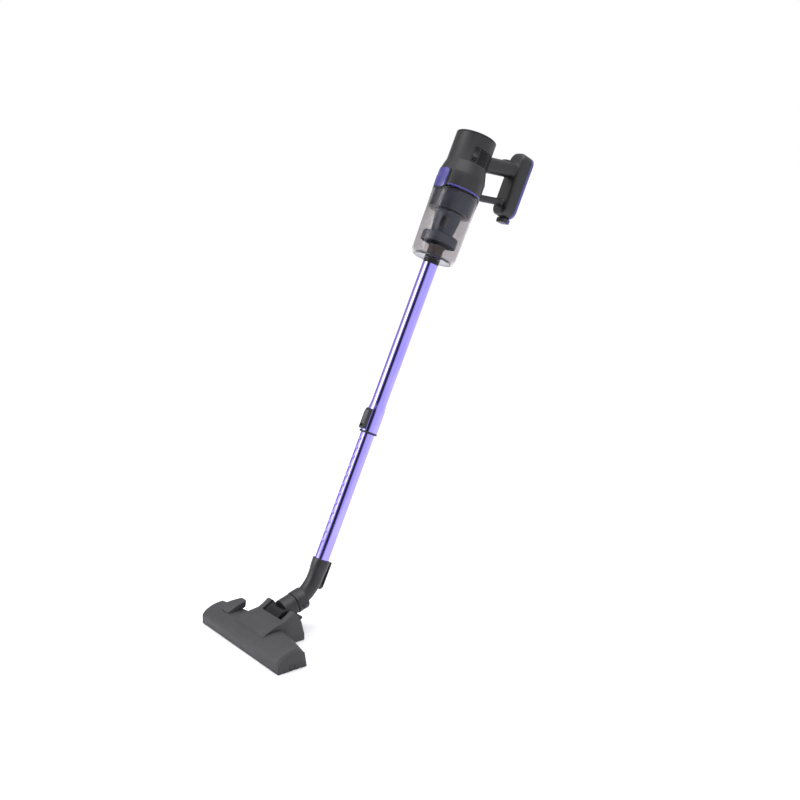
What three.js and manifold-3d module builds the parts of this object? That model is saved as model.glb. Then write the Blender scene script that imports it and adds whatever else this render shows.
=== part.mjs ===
// Cordless stick vacuum. Millimetres, +Z up, +X to the right seen from the front, -Y to the front.
// The origin is on the flat land of the floor head's sole, on its centre line.
import * as THREE from "three";
import { mergeVertices } from "three/addons/utils/BufferGeometryUtils.js";
import Module from "manifold-3d";

const wasm = await Module();
wasm.setup();

// ---------------------------------------------------------------- driving dimensions
const GAP = 0.3;                 // clearance between touching pieces
const DEG = Math.PI / 180;

// Wand and hand unit: "along" runs up the wand, "back" is square to it, away from the front.
const LEAN = 25.9 * DEG;         // the wand leans back from the vertical
const WAND_FOOT_Y = 90.7;        // where the wand's axis meets the floor plane

const LOWER_R = 16;              // 32 mm inner tube
const UPPER_R = 17.5;            // 35 mm outer tube
const FLARE_R = 19.6;            // outer tube's swollen lower end
const LOWER_WALL = 1.4;
const UPPER_WALL = 1.0;
const CUFF_TOP = 162;            // top of the elbow's cuff
const RING_LOW = 450.6;          // low face of the outer tube's end ring
const RING_TOP = 454.4;
const FLARE_TOP = 503;           // full flare up to here, then a taper
const TAPER_TOP = 519;
const UPPER_TOP = 847;           // top of the outer tube's metal
const NOTCH_PITCH = 21.3;
const NOTCH_FIRST = 201;
const NOTCH_COUNT = 13;
const LATCH_AT = NOTCH_FIRST + 13 * NOTCH_PITCH;

// Dust cup
const COLLAR_LOW = 851.3;
const CUP_LOW = 857.6;           // flat floor of the cup
const CUP_CHAMFER = 869;
const CUP_TOP = 1014.4;
const CUP_WALL = 2.2;
const DUCT_R = 17.2;
const DUCT_WALL = 1.8;
const DISH_R = 40.5;
const FILTER_R = 48.4;

// Motor housing
const RING_Z0 = 1015;            // accent ring
const RING_Z1 = 1019;
const SKIRT_R = 53.5;
const SKIRT_TOP = 1051;
const MOTOR_R = 46;
const CONE_TOP = 1079;
const HOUSING_TOP = 1142.5;
const MOTOR_TOP = 1146.3;
const HOUSING_WALL = 2.4;
const BUTTON_LOW = 1007;         // cup-release button on the skirt's front
const BUTTON_HIGH = 1051;

// Handle and battery
const PAD_HALF_W = 23.5;
const PAD_LOW = 1023;
const PAD_HIGH = 1174;
const PAD_FRONT = 130;
const PAD_BACK = 159;
const PAD_CORNER = 18;
const COVER_BACK = 168;
const HANDLE_WALL = 2.2;
const CASE_BACK = 164;           // the battery case reaches into the cover

// Neck
const NECK_RISE = 16 * DEG;      // the swivel axis climbs backwards from the head
const SWIVEL = [0, 87.3, 63.65]; // where the elbow turns in the knuckle
const ELBOW_R = 17.5;
const ELBOW_BORE = 14.6;
const BEND_R = 93;
const COLLAR_R = 24;
const SLEEVE_R = 22.5;

// Floor head
const HEAD_HALF = 155;
const CAP_T = 6;
const HEAD_FRONT = -50;
const HEAD_BACK = 18;
const SHELL_LOW = 0.6;
const BULGE = 20;                // how much deeper the head is beside the horns than at its ends
const SOLE_T = 2.7;
const PIVOT_Y = 53;              // tilt axis between the head's horns
const PIVOT_Z = 40;
const BARREL_R = 24.4;
const BARREL_HALF = 25;
const HUB_R = 14;
const HUB_HALF = 36;
const HORN_IN = 37;
const HORN_OUT = 52;
const WHEEL_R = 12;
const WHEEL_Y = 70;
const WHEEL_IN = 40;
const WHEEL_OUT = 49;
const BRUSH_FRONT = -41;
const BRUSH_REAR = -9.5;

// ---------------------------------------------------------------- materials
const plastic = (hex, roughness) => new THREE.MeshStandardMaterial({ color: hex, roughness, metalness: 0 });
const metal = (hex, roughness) => new THREE.MeshStandardMaterial({ color: hex, roughness, metalness: 1 });
const MAT = {
  charcoal: plastic(0x4a4a4e, 0.6),
  black: plastic(0x242426, 0.45),
  neck: plastic(0x2e2e32, 0.5),
  purple: plastic(0x5a58a6, 0.4),
  violet: metal(0x8f80ff, 0.15),
  smoke: plastic(0x6a6c74, 0.1),
  amber: plastic(0x5a4a44, 0.2),
  grey: plastic(0x6a6c70, 0.55),
  rubber: plastic(0x18181a, 0.9),
  steel: metal(0xb8b8bc, 0.3),
  copper: metal(0xb87350, 0.35),
  board: plastic(0x1f5a38, 0.6),
  cell: plastic(0x2f7fb4, 0.5),
  filter: plastic(0xe6e4dc, 0.95),
  bristle: plastic(0x1c1c1e, 0.95),
};

// ---------------------------------------------------------------- shape helpers
// A geometry's closed surface as a solid, with shared corners merged and empty triangles dropped.
function solid(geometry) {
  const bare = new THREE.BufferGeometry();
  bare.setAttribute("position", geometry.getAttribute("position").clone());
  if (geometry.index) bare.setIndex(geometry.index.clone());
  const merged = mergeVertices(bare, 1e-4);
  const index = merged.index.array;
  const triangles = [];
  for (let i = 0; i < index.length; i += 3) {
    const [a, b, c] = [index[i], index[i + 1], index[i + 2]];
    if (a !== b && b !== c && c !== a) triangles.push(a, b, c);
  }
  return new wasm.Manifold(new wasm.Mesh({
    numProp: 3,
    vertProperties: new Float32Array(merged.getAttribute("position").array),
    triVerts: new Uint32Array(triangles),
  }));
}

function geometryOf(body) {
  const mesh = body.getMesh();
  const geometry = new THREE.BufferGeometry();
  geometry.setAttribute("position", new THREE.BufferAttribute(new Float32Array(mesh.vertProperties), 3));
  geometry.setIndex(new THREE.BufferAttribute(new Uint32Array(mesh.triVerts), 1));
  return geometry;
}

const join = (first, ...rest) => rest.reduce((sum, next) => sum.add(next), first);
const cut = (first, ...rest) => rest.reduce((left, next) => left.subtract(next), first);

function boxGeometry([x0, x1], [y0, y1], [z0, z1]) {
  return new THREE.BoxGeometry(x1 - x0, y1 - y0, z1 - z0)
    .translate((x0 + x1) / 2, (y0 + y1) / 2, (z0 + z1) / 2);
}

const box = (x, y, z) => solid(boxGeometry(x, y, z));

// A turned piece about Z from [radius, height] points that run anticlockwise in that plane.
function turnedGeometry(points, sides = 24) {
  const profile = points.map(([r, z]) => new THREE.Vector2(r, z));
  return new THREE.LatheGeometry(profile, sides).rotateX(Math.PI / 2);
}

function turned(points, sides = 24) {
  let body = solid(turnedGeometry(points, sides));
  if (body.volume() < 0) throw new Error("a turned profile runs the wrong way");
  return body;
}

const rod = (r, z0, z1, sides = 24) => turned([[0, z0], [r, z0], [r, z1], [0, z1]], sides);

const pipePoints = (inner, outer, z0, z1) =>
  [[inner, z0], [outer, z0], [outer, z1], [inner, z1], [inner, z0]];
const pipe = (inner, outer, z0, z1, sides = 24) => turned(pipePoints(inner, outer, z0, z1), sides);

// A rod along X, centred on (y, z).
function crossRod(r, x0, x1, y, z, sides = 24) {
  return solid(new THREE.CylinderGeometry(r, r, x1 - x0, sides)
    .rotateZ(Math.PI / 2).translate((x0 + x1) / 2, y, z));
}

// A stretch of X from low to high on the right (side 1), or its mirror on the left (side -1).
const span = (side, low, high) => (side > 0 ? [low, high] : [-high, -low]);

function shapeOf(points) {
  const shape = new THREE.Shape();
  points.forEach(([a, b], i) => (i ? shape.lineTo(a, b) : shape.moveTo(a, b)));
  shape.closePath();
  return shape;
}

const EXTRUDE_PLAIN = { bevelEnabled: false, curveSegments: 3, steps: 1 };
const WIDE = 32;                 // sides of the big round pieces, the same on all that nest

// A side outline in (y, z) carried across from x0 to x1.
function acrossX(shape, x0, x1, curveSegments = 10) {
  const turn = new THREE.Matrix4().makeBasis(
    new THREE.Vector3(0, 1, 0), new THREE.Vector3(0, 0, 1), new THREE.Vector3(1, 0, 0));
  return solid(new THREE.ExtrudeGeometry(shape, { ...EXTRUDE_PLAIN, curveSegments, depth: x1 - x0 })
    .applyMatrix4(turn).translate(x0, 0, 0));
}

// A plan outline in (x, y) raised from z0 to z1.
function upZ(shape, z0, z1) {
  return solid(new THREE.ExtrudeGeometry(shape, { ...EXTRUDE_PLAIN, depth: z1 - z0 }).translate(0, 0, z0));
}

// A face outline in (x, z) carried back from y0 to y1.
function backY(shape, y0, y1) {
  const turn = new THREE.Matrix4().makeBasis(
    new THREE.Vector3(1, 0, 0), new THREE.Vector3(0, 0, 1), new THREE.Vector3(0, -1, 0));
  return solid(new THREE.ExtrudeGeometry(shape, { ...EXTRUDE_PLAIN, depth: y1 - y0 })
    .applyMatrix4(turn).translate(0, y1, 0));
}

function roundedRect(halfW, low, high, radius) {
  const shape = new THREE.Shape();
  shape.moveTo(-halfW + radius, low);
  shape.lineTo(halfW - radius, low);
  shape.absarc(halfW - radius, low + radius, radius, -Math.PI / 2, 0, false);
  shape.absarc(halfW - radius, high - radius, radius, 0, Math.PI / 2, false);
  shape.absarc(-halfW + radius, high - radius, radius, Math.PI / 2, Math.PI, false);
  shape.absarc(-halfW + radius, low + radius, radius, Math.PI, Math.PI * 1.5, false);
  return shape;
}

// ---------------------------------------------------------------- scene groups
const vacuum = new THREE.Group();
const wandGroup = new THREE.Group();       // local Z runs up the wand, local Y is back
wandGroup.position.set(0, WAND_FOOT_Y, 0);
wandGroup.rotation.x = -LEAN;
const neckGroup = new THREE.Group();       // local Z runs back along the swivel axis, local Y is down
neckGroup.position.set(...SWIVEL);
neckGroup.rotation.x = -(Math.PI / 2 - NECK_RISE);
const headGroup = new THREE.Group();
vacuum.add(wandGroup, neckGroup, headGroup);

function addNode(group, name, shape, material) {
  const geometry = shape.isBufferGeometry ? shape : geometryOf(shape);
  const mesh = new THREE.Mesh(geometry, material.clone());
  mesh.name = name;
  group.add(mesh);
}

const inWand = (name, shape, material) => addNode(wandGroup, name, shape, material);
const inNeck = (name, shape, material) => addNode(neckGroup, name, shape, material);
const inHead = (name, shape, material) => addNode(headGroup, name, shape, material);

// ---------------------------------------------------------------- motor housing
// Ring-shaped window on one side of the motor barrel, for the exhaust grille.
const VENT = { low: 1079.5, high: 1115, from: 54, to: 144, rib: 72 };

// A block of a tube wall between two angles, measured from the front towards +X (side 1) or -X.
function arcBlock(inner, outer, z0, z1, fromDeg, toDeg, side) {
  const steps = Math.ceil((toDeg - fromDeg) / 11);
  const points = [];
  const at = (r, deg) => [side * r * Math.sin(deg * DEG), -r * Math.cos(deg * DEG)];
  for (let i = 0; i <= steps; i++) points.push(at(outer, fromDeg + ((toDeg - fromDeg) * i) / steps));
  for (let i = steps; i >= 0; i--) points.push(at(inner, fromDeg + ((toDeg - fromDeg) * i) / steps));
  return upZ(shapeOf(points), z0, z1);
}

function motorHousing() {
  const w = HOUSING_WALL;
  let body = turned([
    [SKIRT_R - w, RING_Z1 + GAP], [SKIRT_R, RING_Z1 + GAP], [SKIRT_R, SKIRT_TOP], [MOTOR_R, CONE_TOP],
    [MOTOR_R, HOUSING_TOP], [MOTOR_R - w, HOUSING_TOP], [MOTOR_R - w, CONE_TOP],
    [SKIRT_R - w, SKIRT_TOP], [SKIRT_R - w, RING_Z1 + GAP],
  ], WIDE);
  for (const side of [1, -1]) {
    body = body.subtract(arcBlock(MOTOR_R - 5, MOTOR_R + 5, VENT.low, VENT.high, VENT.from, VENT.to, side));
  }
  return cut(body,
    box([-19.4, 19.4], [-60, -40], [RING_Z1 - 1, BUTTON_HIGH + 2.4]),
    box([-11, 11], [30, 60], [1100, 1120]),
    box([-5, 5], [30, 60], [1026, 1034]));
}

function motorTopCap() {
  return turned([
    [0, HOUSING_TOP + GAP], [MOTOR_R, HOUSING_TOP + GAP], [MOTOR_R, MOTOR_TOP - 1.5],
    [MOTOR_R - 1.5, MOTOR_TOP], [0, MOTOR_TOP],
  ], WIDE);
}

function ventGrille(side) {
  const inner = MOTOR_R - 2.6;
  const outer = MOTOR_R - 0.4;
  const edge = 0.6;
  let plate = arcBlock(inner, outer, VENT.low + GAP, VENT.high - GAP, VENT.from + edge, VENT.to - edge, side);
  const slotH = 3;
  for (let z = VENT.low + 3.4; z < VENT.high - 4; z += 6.2) {
    for (const [a, b] of [[VENT.from + 5, VENT.rib - 3], [VENT.rib + 3, VENT.to - 5]]) {
      plate = plate.subtract(arcBlock(inner - 3, outer + 3, z, z + slotH, a, b, side));
    }
  }
  return plate;
}

const accentRing = () => turned([
  [50, RING_Z0], [53.2, RING_Z0], [53.8, RING_Z0 + 0.8], [53.8, RING_Z1 - 0.8], [53.2, RING_Z1], [50, RING_Z1],
  [50, RING_Z0],
], WIDE);

// Curved tray let into the front of the skirt, which the release button sits in.
function buttonBezel() {
  const tray = pipe(49.4, 54.4, RING_Z1 + GAP, BUTTON_HIGH + 2, WIDE)
    .intersect(box([-19, 19], [-60, -30], [RING_Z1, BUTTON_HIGH + 2]));
  const pocket = pipe(51, 60, RING_Z1 - 1, BUTTON_HIGH + 0.4, WIDE)
    .intersect(box([-17.5, 17.5], [-70, -30], [RING_Z1 - 1, BUTTON_HIGH + 0.4]));
  return tray.subtract(pocket);
}

function cupButton() {
  const plate = pipe(54.2, 57.4, BUTTON_LOW, BUTTON_HIGH, WIDE)
    .intersect(backY(roundedRect(17, BUTTON_LOW, BUTTON_HIGH, 5), -70, -30));
  const lip = box([-14, 14], [-58.4, -55], [BUTTON_LOW + 24, BUTTON_LOW + 26.4])
    .intersect(pipe(54.6, 58.2, BUTTON_LOW, BUTTON_HIGH, WIDE));
  return join(plate, lip);
}

// ---------------------------------------------------------------- motor and fan
const motorCan = () => join(
  turned([[2.4, 1086], [20, 1086], [21.5, 1088], [21.5, 1122], [20, 1124], [2.4, 1124], [2.4, 1086]]),
  pipe(2.4, 7, 1123, 1127));

const motorMount = () => cut(
  pipe(21.8, 43, 1090, 1094),
  ...[0, 1, 2, 3, 4, 5].map((i) => rod(5, 1089, 1095, 8)
    .translate([33 * Math.cos((i * 60 + 30) * DEG), 33 * Math.sin((i * 60 + 30) * DEG), 0])));

// Fan: a hub on the shaft, a back plate and curved blades.
function impeller() {
  let body = join(rod(2, 1056, 1122, 12), rod(7, 1061, 1076, 12), pipe(1.5, 31, 1074, 1076));
  const blades = 9;
  for (let i = 0; i < blades; i++) {
    const blade = box([6, 30], [-0.6, 0.6], [1063, 1074.5]).rotate([0, 0, (i * 360) / blades]);
    body = body.add(blade);
  }
  return body;
}

const fanShroud = () => turned([
  [12, 1058], [34, 1061], [34, 1082], [9, 1082], [9, 1080], [32, 1080], [32, 1062.6], [12, 1059.8], [12, 1058],
]);

// Round board with a flat front edge, carrying a row of capacitors.
function controlBoard() {
  const board = pipe(9, 38, 1130, 1131.6).subtract(box([-50, 50], [-50, -30], [1129, 1133]));
  return join(board, ...[-16, 0, 16].map((x) => rod(5, 1131, 1140, 10).translate([x, 22, 0])));
}

// ---------------------------------------------------------------- handle
// Side outlines in (back, along): upper arm, lower arm.
const ARM_UPPER = [[42, 1084], [42, 1124], [60, 1128.5], [115, 1144], [137, 1150], [137, 1113], [115, 1106], [60, 1089]];
const ARM_LOWER = [[47, 1019.6], [47, 1036], [71, 1042], [113.6, 1055.5], [137, 1062], [137, 1045], [113.6, 1037], [71, 1026]];

// The hollow that the battery case fills, in the pad and in its cover.
const batteryBay = (y0, y1) => backY(roundedRect(
  PAD_HALF_W - HANDLE_WALL, PAD_LOW + HANDLE_WALL + 1, PAD_HIGH - HANDLE_WALL - 1, 12), y0, y1);

function handleBody() {
  const pad = join(
    backY(roundedRect(PAD_HALF_W - 3, PAD_LOW + 3, PAD_HIGH - 3, PAD_CORNER - 3), PAD_FRONT, PAD_BACK),
    backY(roundedRect(PAD_HALF_W, PAD_LOW, PAD_HIGH, PAD_CORNER), PAD_FRONT + 4, PAD_BACK));
  const arms = join(acrossX(shapeOf(ARM_UPPER), -15, 15), acrossX(shapeOf(ARM_LOWER), -8.5, 8.5));
  const w = HANDLE_WALL;
  const shrink = ([b, a], i) => [b, i < 5 && i > 0 ? a - w : a + w];
  const armBore = acrossX(shapeOf(ARM_UPPER.map((p, i) => shrink(p, i))), -15 + w, 15 - w);
  const lowerBore = acrossX(shapeOf(ARM_LOWER.map((p, i) => shrink(p, i))), -8.5 + w, 8.5 - w);
  const motorClear = turned([
    [0, 1000], [SKIRT_R + GAP, 1000], [SKIRT_R + GAP, SKIRT_TOP], [MOTOR_R + GAP, CONE_TOP], [MOTOR_R + GAP, 1200],
    [0, 1200],
  ], WIDE);
  const latchSlot = box([-6, 6], [146, 170], [PAD_LOW - 5, PAD_LOW + 8]);
  const buttonSlot = box([-7, 7], [96, 118], [1135, 1160]);
  return cut(join(pad, arms), batteryBay(PAD_FRONT + 8.5, 200), armBore, lowerBore, motorClear, latchSlot, buttonSlot);
}

const HANDLE_HALVES = handleBody();
const handleHalf = (side) => HANDLE_HALVES.intersect(
  box(side > 0 ? [GAP / 2, 60] : [-60, -GAP / 2], [30, 200], [1000, 1200]));

const powerButton = () => join(
  acrossX(shapeOf([[97, 1134], [117, 1139], [117, 1147], [97, 1141.4]]), -6.4, 6.4),
  box([-5, 5], [100, 114], [1130, 1137.5]));

// ---------------------------------------------------------------- battery
const CELL_R = 9;
const CELL_LEN = 63;
const CELL_LOW = 1034.8;

const batteryCover = () => cut(
  join(
    backY(roundedRect(PAD_HALF_W, PAD_LOW, PAD_HIGH, PAD_CORNER), PAD_BACK + GAP, COVER_BACK - 1.5),
    backY(roundedRect(PAD_HALF_W - 1.6, PAD_LOW + 1.6, PAD_HIGH - 1.6, PAD_CORNER - 1.6), PAD_BACK + 1, COVER_BACK)),
  batteryBay(PAD_BACK - 1, CASE_BACK + GAP));

function batteryCase() {
  const outer = backY(roundedRect(PAD_HALF_W - 2.6, PAD_LOW + 3.8, PAD_HIGH - 3.8, 12.5), 140, CASE_BACK);
  return cut(outer,
    backY(roundedRect(18.5, CELL_LOW - GAP, CELL_LOW + 2 * CELL_LEN + 2 * GAP, 1), 138, 161.6),
    box([-5.6, 5.6], [146.4, 156.4], [1020, 1033]));
}

const batteryCell = (i) => new THREE.CylinderGeometry(CELL_R, CELL_R, CELL_LEN, 16)
  .rotateX(Math.PI / 2)
  .translate((i % 2 ? 1 : -1) * (CELL_R + 0.2), 151.5, CELL_LOW + CELL_LEN / 2 + (i > 1 ? CELL_LEN + GAP : 0));

const batteryLatch = () => join(
  backY(roundedRect(12.5, 1011, 1022.4, 2), 146.4, 158.6),
  box([-5, 5], [150, 155.5], [1021, 1029]));

// ---------------------------------------------------------------- dust cup
function cupShell() {
  const w = CUP_WALL;
  return turned([
    [42.2, CUP_LOW + 0.6], [43.4, CUP_LOW], [50.5, CUP_CHAMFER], [52, 949], [52.8, CUP_TOP - 16], [53.8, CUP_TOP - 5.4],
    [53.8, CUP_TOP], [51.2, CUP_TOP], [51.2, CUP_TOP - 8.4], [52.8 - w, CUP_TOP - 16], [52 - w, 949], [50.5 - w, CUP_CHAMFER + 0.6],
    [42.2, CUP_LOW + 3.4], [42.2, CUP_LOW + 0.6],
  ], WIDE);
}

const cupFloor = () => turned([
  [DUCT_R + GAP, CUP_LOW], [41.6, CUP_LOW], [41.6, CUP_LOW + 2.6], [40, CUP_LOW + 2.6], [40, CUP_LOW + 6],
  [38, CUP_LOW + 6], [38, CUP_LOW + 2.6], [DUCT_R + GAP, CUP_LOW + 2.6], [DUCT_R + GAP, CUP_LOW],
]);

const floorSeal = () => pipe(40.3, 42, CUP_LOW + 2.9, CUP_LOW + 3.3 + 1.4);

const rimSeal = () => pipe(48.9, 50.9, CUP_TOP - 4, CUP_TOP - 0.6, WIDE);

function inletDuct() {
  const r = DUCT_R;
  return turned([
    [r - DUCT_WALL, CUP_LOW - 0.4], [r, CUP_LOW - 0.4], [r, 882], [r + 3, 888], [r + 1.4, 889],
    [r - DUCT_WALL, 883], [r - DUCT_WALL, CUP_LOW - 0.4],
  ]);
}

const inletCollar = () => turned([
  [15.4, COLLAR_LOW], [17.4, COLLAR_LOW], [18, COLLAR_LOW + 1], [18, CUP_LOW - 0.7], [15.4, CUP_LOW - 0.7],
  [15.4, COLLAR_LOW],
]);

const cycloneDish = () => turned([
  [0, 911], [24, 911], [38.4, 908], [38.4, 893], [DISH_R, 893], [DISH_R, 912], [36, 915], [0, 915],
]);

const cycloneCone = () => cut(
  turned([
    [23.5, 915.4], [25.5, 915.4], [25.5, 921], [30, 958], [36, 965.6], [34, 966.6], [28, 959], [23.5, 921.6],
    [23.5, 915.4],
  ]),
  ...[0, 1, 2, 3].map((i) => box([-9, 9], [10, 40], [926, 952]).rotate([0, 0, 45 + i * 90])));

const coneMesh = () => turned([[21.3, 916], [22.9, 916], [22.9, 921.8], [27.3, 958.6], [25.7, 958.6], [21.3, 921.8], [21.3, 916]]);

const filterFrame = () => turned([
  [36.6, 967], [FILTER_R - 2, 967], [FILTER_R, 969], [FILTER_R, CUP_TOP - 7.4], [50.8, CUP_TOP - 5.4],
  [50.8, CUP_TOP - 4.3], [48.6, CUP_TOP - 4.3], [46.4, CUP_TOP - 7.4], [46.4, 969.2], [36.6, 969.2], [36.6, 967],
], WIDE);

// Pleated ring filter: a star-shaped outline raised to the filter's height.
function pleatedFilter() {
  const pleats = 30;
  const outline = [];
  for (let i = 0; i < pleats * 2; i++) {
    const r = i % 2 ? 45.6 : 36.4;
    outline.push([r * Math.cos((i * Math.PI) / pleats), r * Math.sin((i * Math.PI) / pleats)]);
  }
  return upZ(shapeOf(outline), 969.8, 1004).subtract(rod(33.4, 960, 1010, 30));
}

// ---------------------------------------------------------------- wand
const wandConnector = () => turned([
  [12.8, 822], [16.2, 822], [16.2, UPPER_TOP + GAP], [17.4, UPPER_TOP + GAP], [17.4, COLLAR_LOW - GAP],
  [15.1, COLLAR_LOW - GAP], [14.9, 880], [12.8, 880], [12.8, 822],
]);

function upperTube() {
  const w = UPPER_WALL;
  const body = turned([
    [FLARE_R - w, RING_TOP + GAP], [FLARE_R, RING_TOP + GAP], [FLARE_R, FLARE_TOP], [UPPER_R, TAPER_TOP],
    [UPPER_R, UPPER_TOP], [UPPER_R - w, UPPER_TOP], [UPPER_R - w, TAPER_TOP + 0.4], [FLARE_R - w, FLARE_TOP + 0.4],
    [FLARE_R - w, RING_TOP + GAP],
  ]);
  return body.subtract(box([-4, 4], [-30, -10], [LATCH_AT - 2.4, LATCH_AT + 2.4]));
}

const tubeEndRing = () => turned([
  [16.4, RING_LOW], [19.6, RING_LOW], [20.1, RING_LOW + 0.6], [20.1, RING_TOP], [16.4, RING_TOP],
  [16.4, RING_LOW],
]);

const tubeGuide = () => pipe(16.4, FLARE_R - UPPER_WALL - GAP, RING_TOP + GAP, 498)
  .subtract(box([-4, 4], [-30, -10], [LATCH_AT - 2.4, LATCH_AT + 2.4]));

function latchFrame() {
  const block = join(
    backY(roundedRect(8, 458, 503, 4), -23, -12),
    backY(roundedRect(7, 459, 502, 3.4), -24, -12));
  return cut(block,
    rod(FLARE_R + GAP, 440, 520),
    backY(roundedRect(5.9, 462, 499, 2.4), -30, -21.6),
    box([-4, 4], [-24, -12], [LATCH_AT - 2.4, LATCH_AT + 2.4]));
}

// The thumb slider with a ribbed pad, and the pin that it lifts out of the notches.
function latchSlider() {
  let pad = backY(roundedRect(5.5, 468.4, 498.4, 2.2), -25.2, -22);
  for (let z = 472; z <= 494; z += 3.4) pad = pad.add(box([-4.4, 4.4], [-26.2, -25], [z, z + 1.5]));
  return pad;
}

const latchPin = () => box([-3.4, 3.4], [-20.4, -16.35], [LATCH_AT - 1.6, LATCH_AT + 1.6]);

function lowerTube() {
  let body = pipe(LOWER_R - LOWER_WALL, LOWER_R, 137, 531);
  for (let i = 0; i < NOTCH_COUNT + 1; i++) {
    const z = NOTCH_FIRST + i * NOTCH_PITCH;
    body = body.subtract(box([-4, 4], [-20, -15.1], [z - 1.75, z + 1.75]));
  }
  return body;
}

// ---------------------------------------------------------------- elbow and neck
// The elbow's centre line in the wand's frame: straight, a bend towards the front, then the journal.
const BEND = Math.PI / 2 - LEAN - NECK_RISE;
const BEND_START = 125;

class ElbowPath extends THREE.Curve {
  constructor(above, below) {
    super();
    this.above = above;
    this.below = below;
    this.length = above + BEND_R * BEND + below;
  }
  getPoint(t, target = new THREE.Vector3()) {
    const run = t * this.length;
    if (run < this.above) return target.set(0, 0, BEND_START + this.above - run);
    const angle = Math.min((run - this.above) / BEND_R, BEND);
    const past = Math.max(run - this.above - BEND_R * BEND, 0);
    return target.set(0,
      -BEND_R * (1 - Math.cos(angle)) - past * Math.sin(BEND),
      BEND_START - BEND_R * Math.sin(angle) - past * Math.cos(BEND));
  }
}

function elbowRun(r, above, below) {
  const path = new ElbowPath(above, below);
  const ring = new THREE.Shape();
  ring.absarc(0, 0, r, 0, Math.PI * 2, false);
  return solid(new THREE.ExtrudeGeometry(ring, { extrudePath: path, steps: 14, curveSegments: 12, bevelEnabled: false }));
}

function elbowPipe() {
  const cuff = turned([
    [0, 136], [ELBOW_R + 0.4, 136], [ELBOW_R + 2, 144], [ELBOW_R + 2, CUFF_TOP - 1], [ELBOW_R + 1.2, CUFF_TOP], [0, CUFF_TOP],
  ]);
  return cut(join(elbowRun(ELBOW_R, 30, 13), cuff),
    elbowRun(ELBOW_BORE, 40, 20),
    rod(LOWER_R + GAP, 136.6, CUFF_TOP + 4));
}

// Hook on the elbow's back for parking the head on the hand unit.
const parkingClip = () => cut(
  acrossX(shapeOf([[12, 99], [22, 98], [27, 104], [27, 160], [24, 160], [24, 109], [20, 106], [12, 108]]), -5, 5),
  elbowRun(ELBOW_R + GAP, 40, 13));

// A shape of the elbow, moved from the wand's frame into the neck's frame.
function wandToNeck(body) {
  const toWorld = new THREE.Matrix4().makeRotationX(-LEAN).setPosition(0, WAND_FOOT_Y, 0);
  const neck = new THREE.Matrix4().makeRotationX(-(Math.PI / 2 - NECK_RISE)).setPosition(...SWIVEL);
  return body.transform(neck.invert().multiply(toWorld).elements);
}

const PIN_AT = [4.7, 14];        // down from the swivel axis, back along it
const swivelCollar = () => cut(
  turned([[0, GAP], [COLLAR_R - 0.8, GAP], [COLLAR_R, GAP + 0.8], [COLLAR_R, 25], [COLLAR_R - 2.5, 27], [0, 27]]),
  wandToNeck(elbowRun(ELBOW_R + GAP, 30, 20)),
  crossRod(6.8, 22, 30, ...PIN_AT));

const collarPin = () => join(
  crossRod(6.5, 22.3, 24.6, ...PIN_AT, 24),
  crossRod(4.4, 24, 25.2, ...PIN_AT, 24));

// Knuckle: the sleeve that the elbow turns in, and the ribbed barrel that tilts between the horns.
function neckKnuckle() {
  const toNeck = new THREE.Matrix4().makeRotationX(-(Math.PI / 2 - NECK_RISE)).setPosition(...SWIVEL).invert();
  const barrel = join(
    crossRod(BARREL_R, -BARREL_HALF, BARREL_HALF, PIVOT_Y, PIVOT_Z, 32),
    crossRod(HUB_R, -HUB_HALF, HUB_HALF, PIVOT_Y, PIVOT_Z, 32));
  const keel = acrossX(shapeOf([[62, 22], [92, 28], [98, 36], [93, 39], [88, 42], [60, 46]]), -20, 20);
  const sleeve = rod(SLEEVE_R, -26, -GAP);
  const outer = join(sleeve, join(barrel, keel).transform(toNeck.elements));
  const hollow = join(
    crossRod(BARREL_R - 3.6, 3 - BARREL_HALF, BARREL_HALF - 3, PIVOT_Y, PIVOT_Z, 32),
    box([-19, 19], [20, PIVOT_Y], [30, 50]),
    crossRod(4.3, -40, 40, PIVOT_Y, PIVOT_Z, 20)).transform(toNeck.elements);
  return cut(outer, hollow, rod(15, -30, 1), rod(ELBOW_R + 0.4, -14.5, 1));
}

// ---------------------------------------------------------------- floor head
// Side outline of the head's body, drawn in by an inset and lengthened at the back by a bulge.
function headOutline(inset, low, bulge = 0) {
  const shape = new THREE.Shape();
  shape.moveTo(HEAD_FRONT + inset, low);
  shape.lineTo(HEAD_FRONT + inset, 17);
  shape.bezierCurveTo(HEAD_FRONT + inset, 27 - inset * 0.6, -28, 39.5 - inset, 0, 39.6 - inset);
  if (bulge) shape.lineTo(bulge * 1.1, 39.4 - inset);
  shape.lineTo(14 - inset * 0.9 + bulge, 31.2 - inset * 0.5);
  shape.lineTo(HEAD_BACK - inset + bulge, low);
  shape.closePath();
  return shape;
}

// The head's body: one outline right across, and a deeper shoulder each side that tapers towards the end.
function headBody(inset, low, half, shoulder) {
  const slice = (side, x, bulge) => acrossX(headOutline(inset, low, bulge), ...span(side, x - 0.5, x));
  return join(acrossX(headOutline(inset, low), -half, half),
    ...[1, -1].map((side) => wasm.Manifold.hull([slice(side, half, 0), slice(side, shoulder + 0.5, BULGE)])));
}

const PEDAL = { x0: -121, x1: -86, y0: -22, y1: 22.7, high: 57 };
const SHOULDER = HORN_OUT + GAP;

function headShell() {
  const half = HEAD_HALF - CAP_T - GAP;
  const shell = headBody(0, SHELL_LOW, half, SHOULDER);
  const hollow = headBody(2.4, SHELL_LOW - 3, half - 2.2, SHOULDER + 2.2);
  const ductPort = box([-18, 18], [-8, 30], [18, 60]);
  const pedalHole = box([PEDAL.x0 - 0.8, PEDAL.x1 + 0.8], [PEDAL.y0 - 0.8, 17.5], [22, 60]);
  return cut(shell, hollow, ductPort, pedalHole);
}

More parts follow.
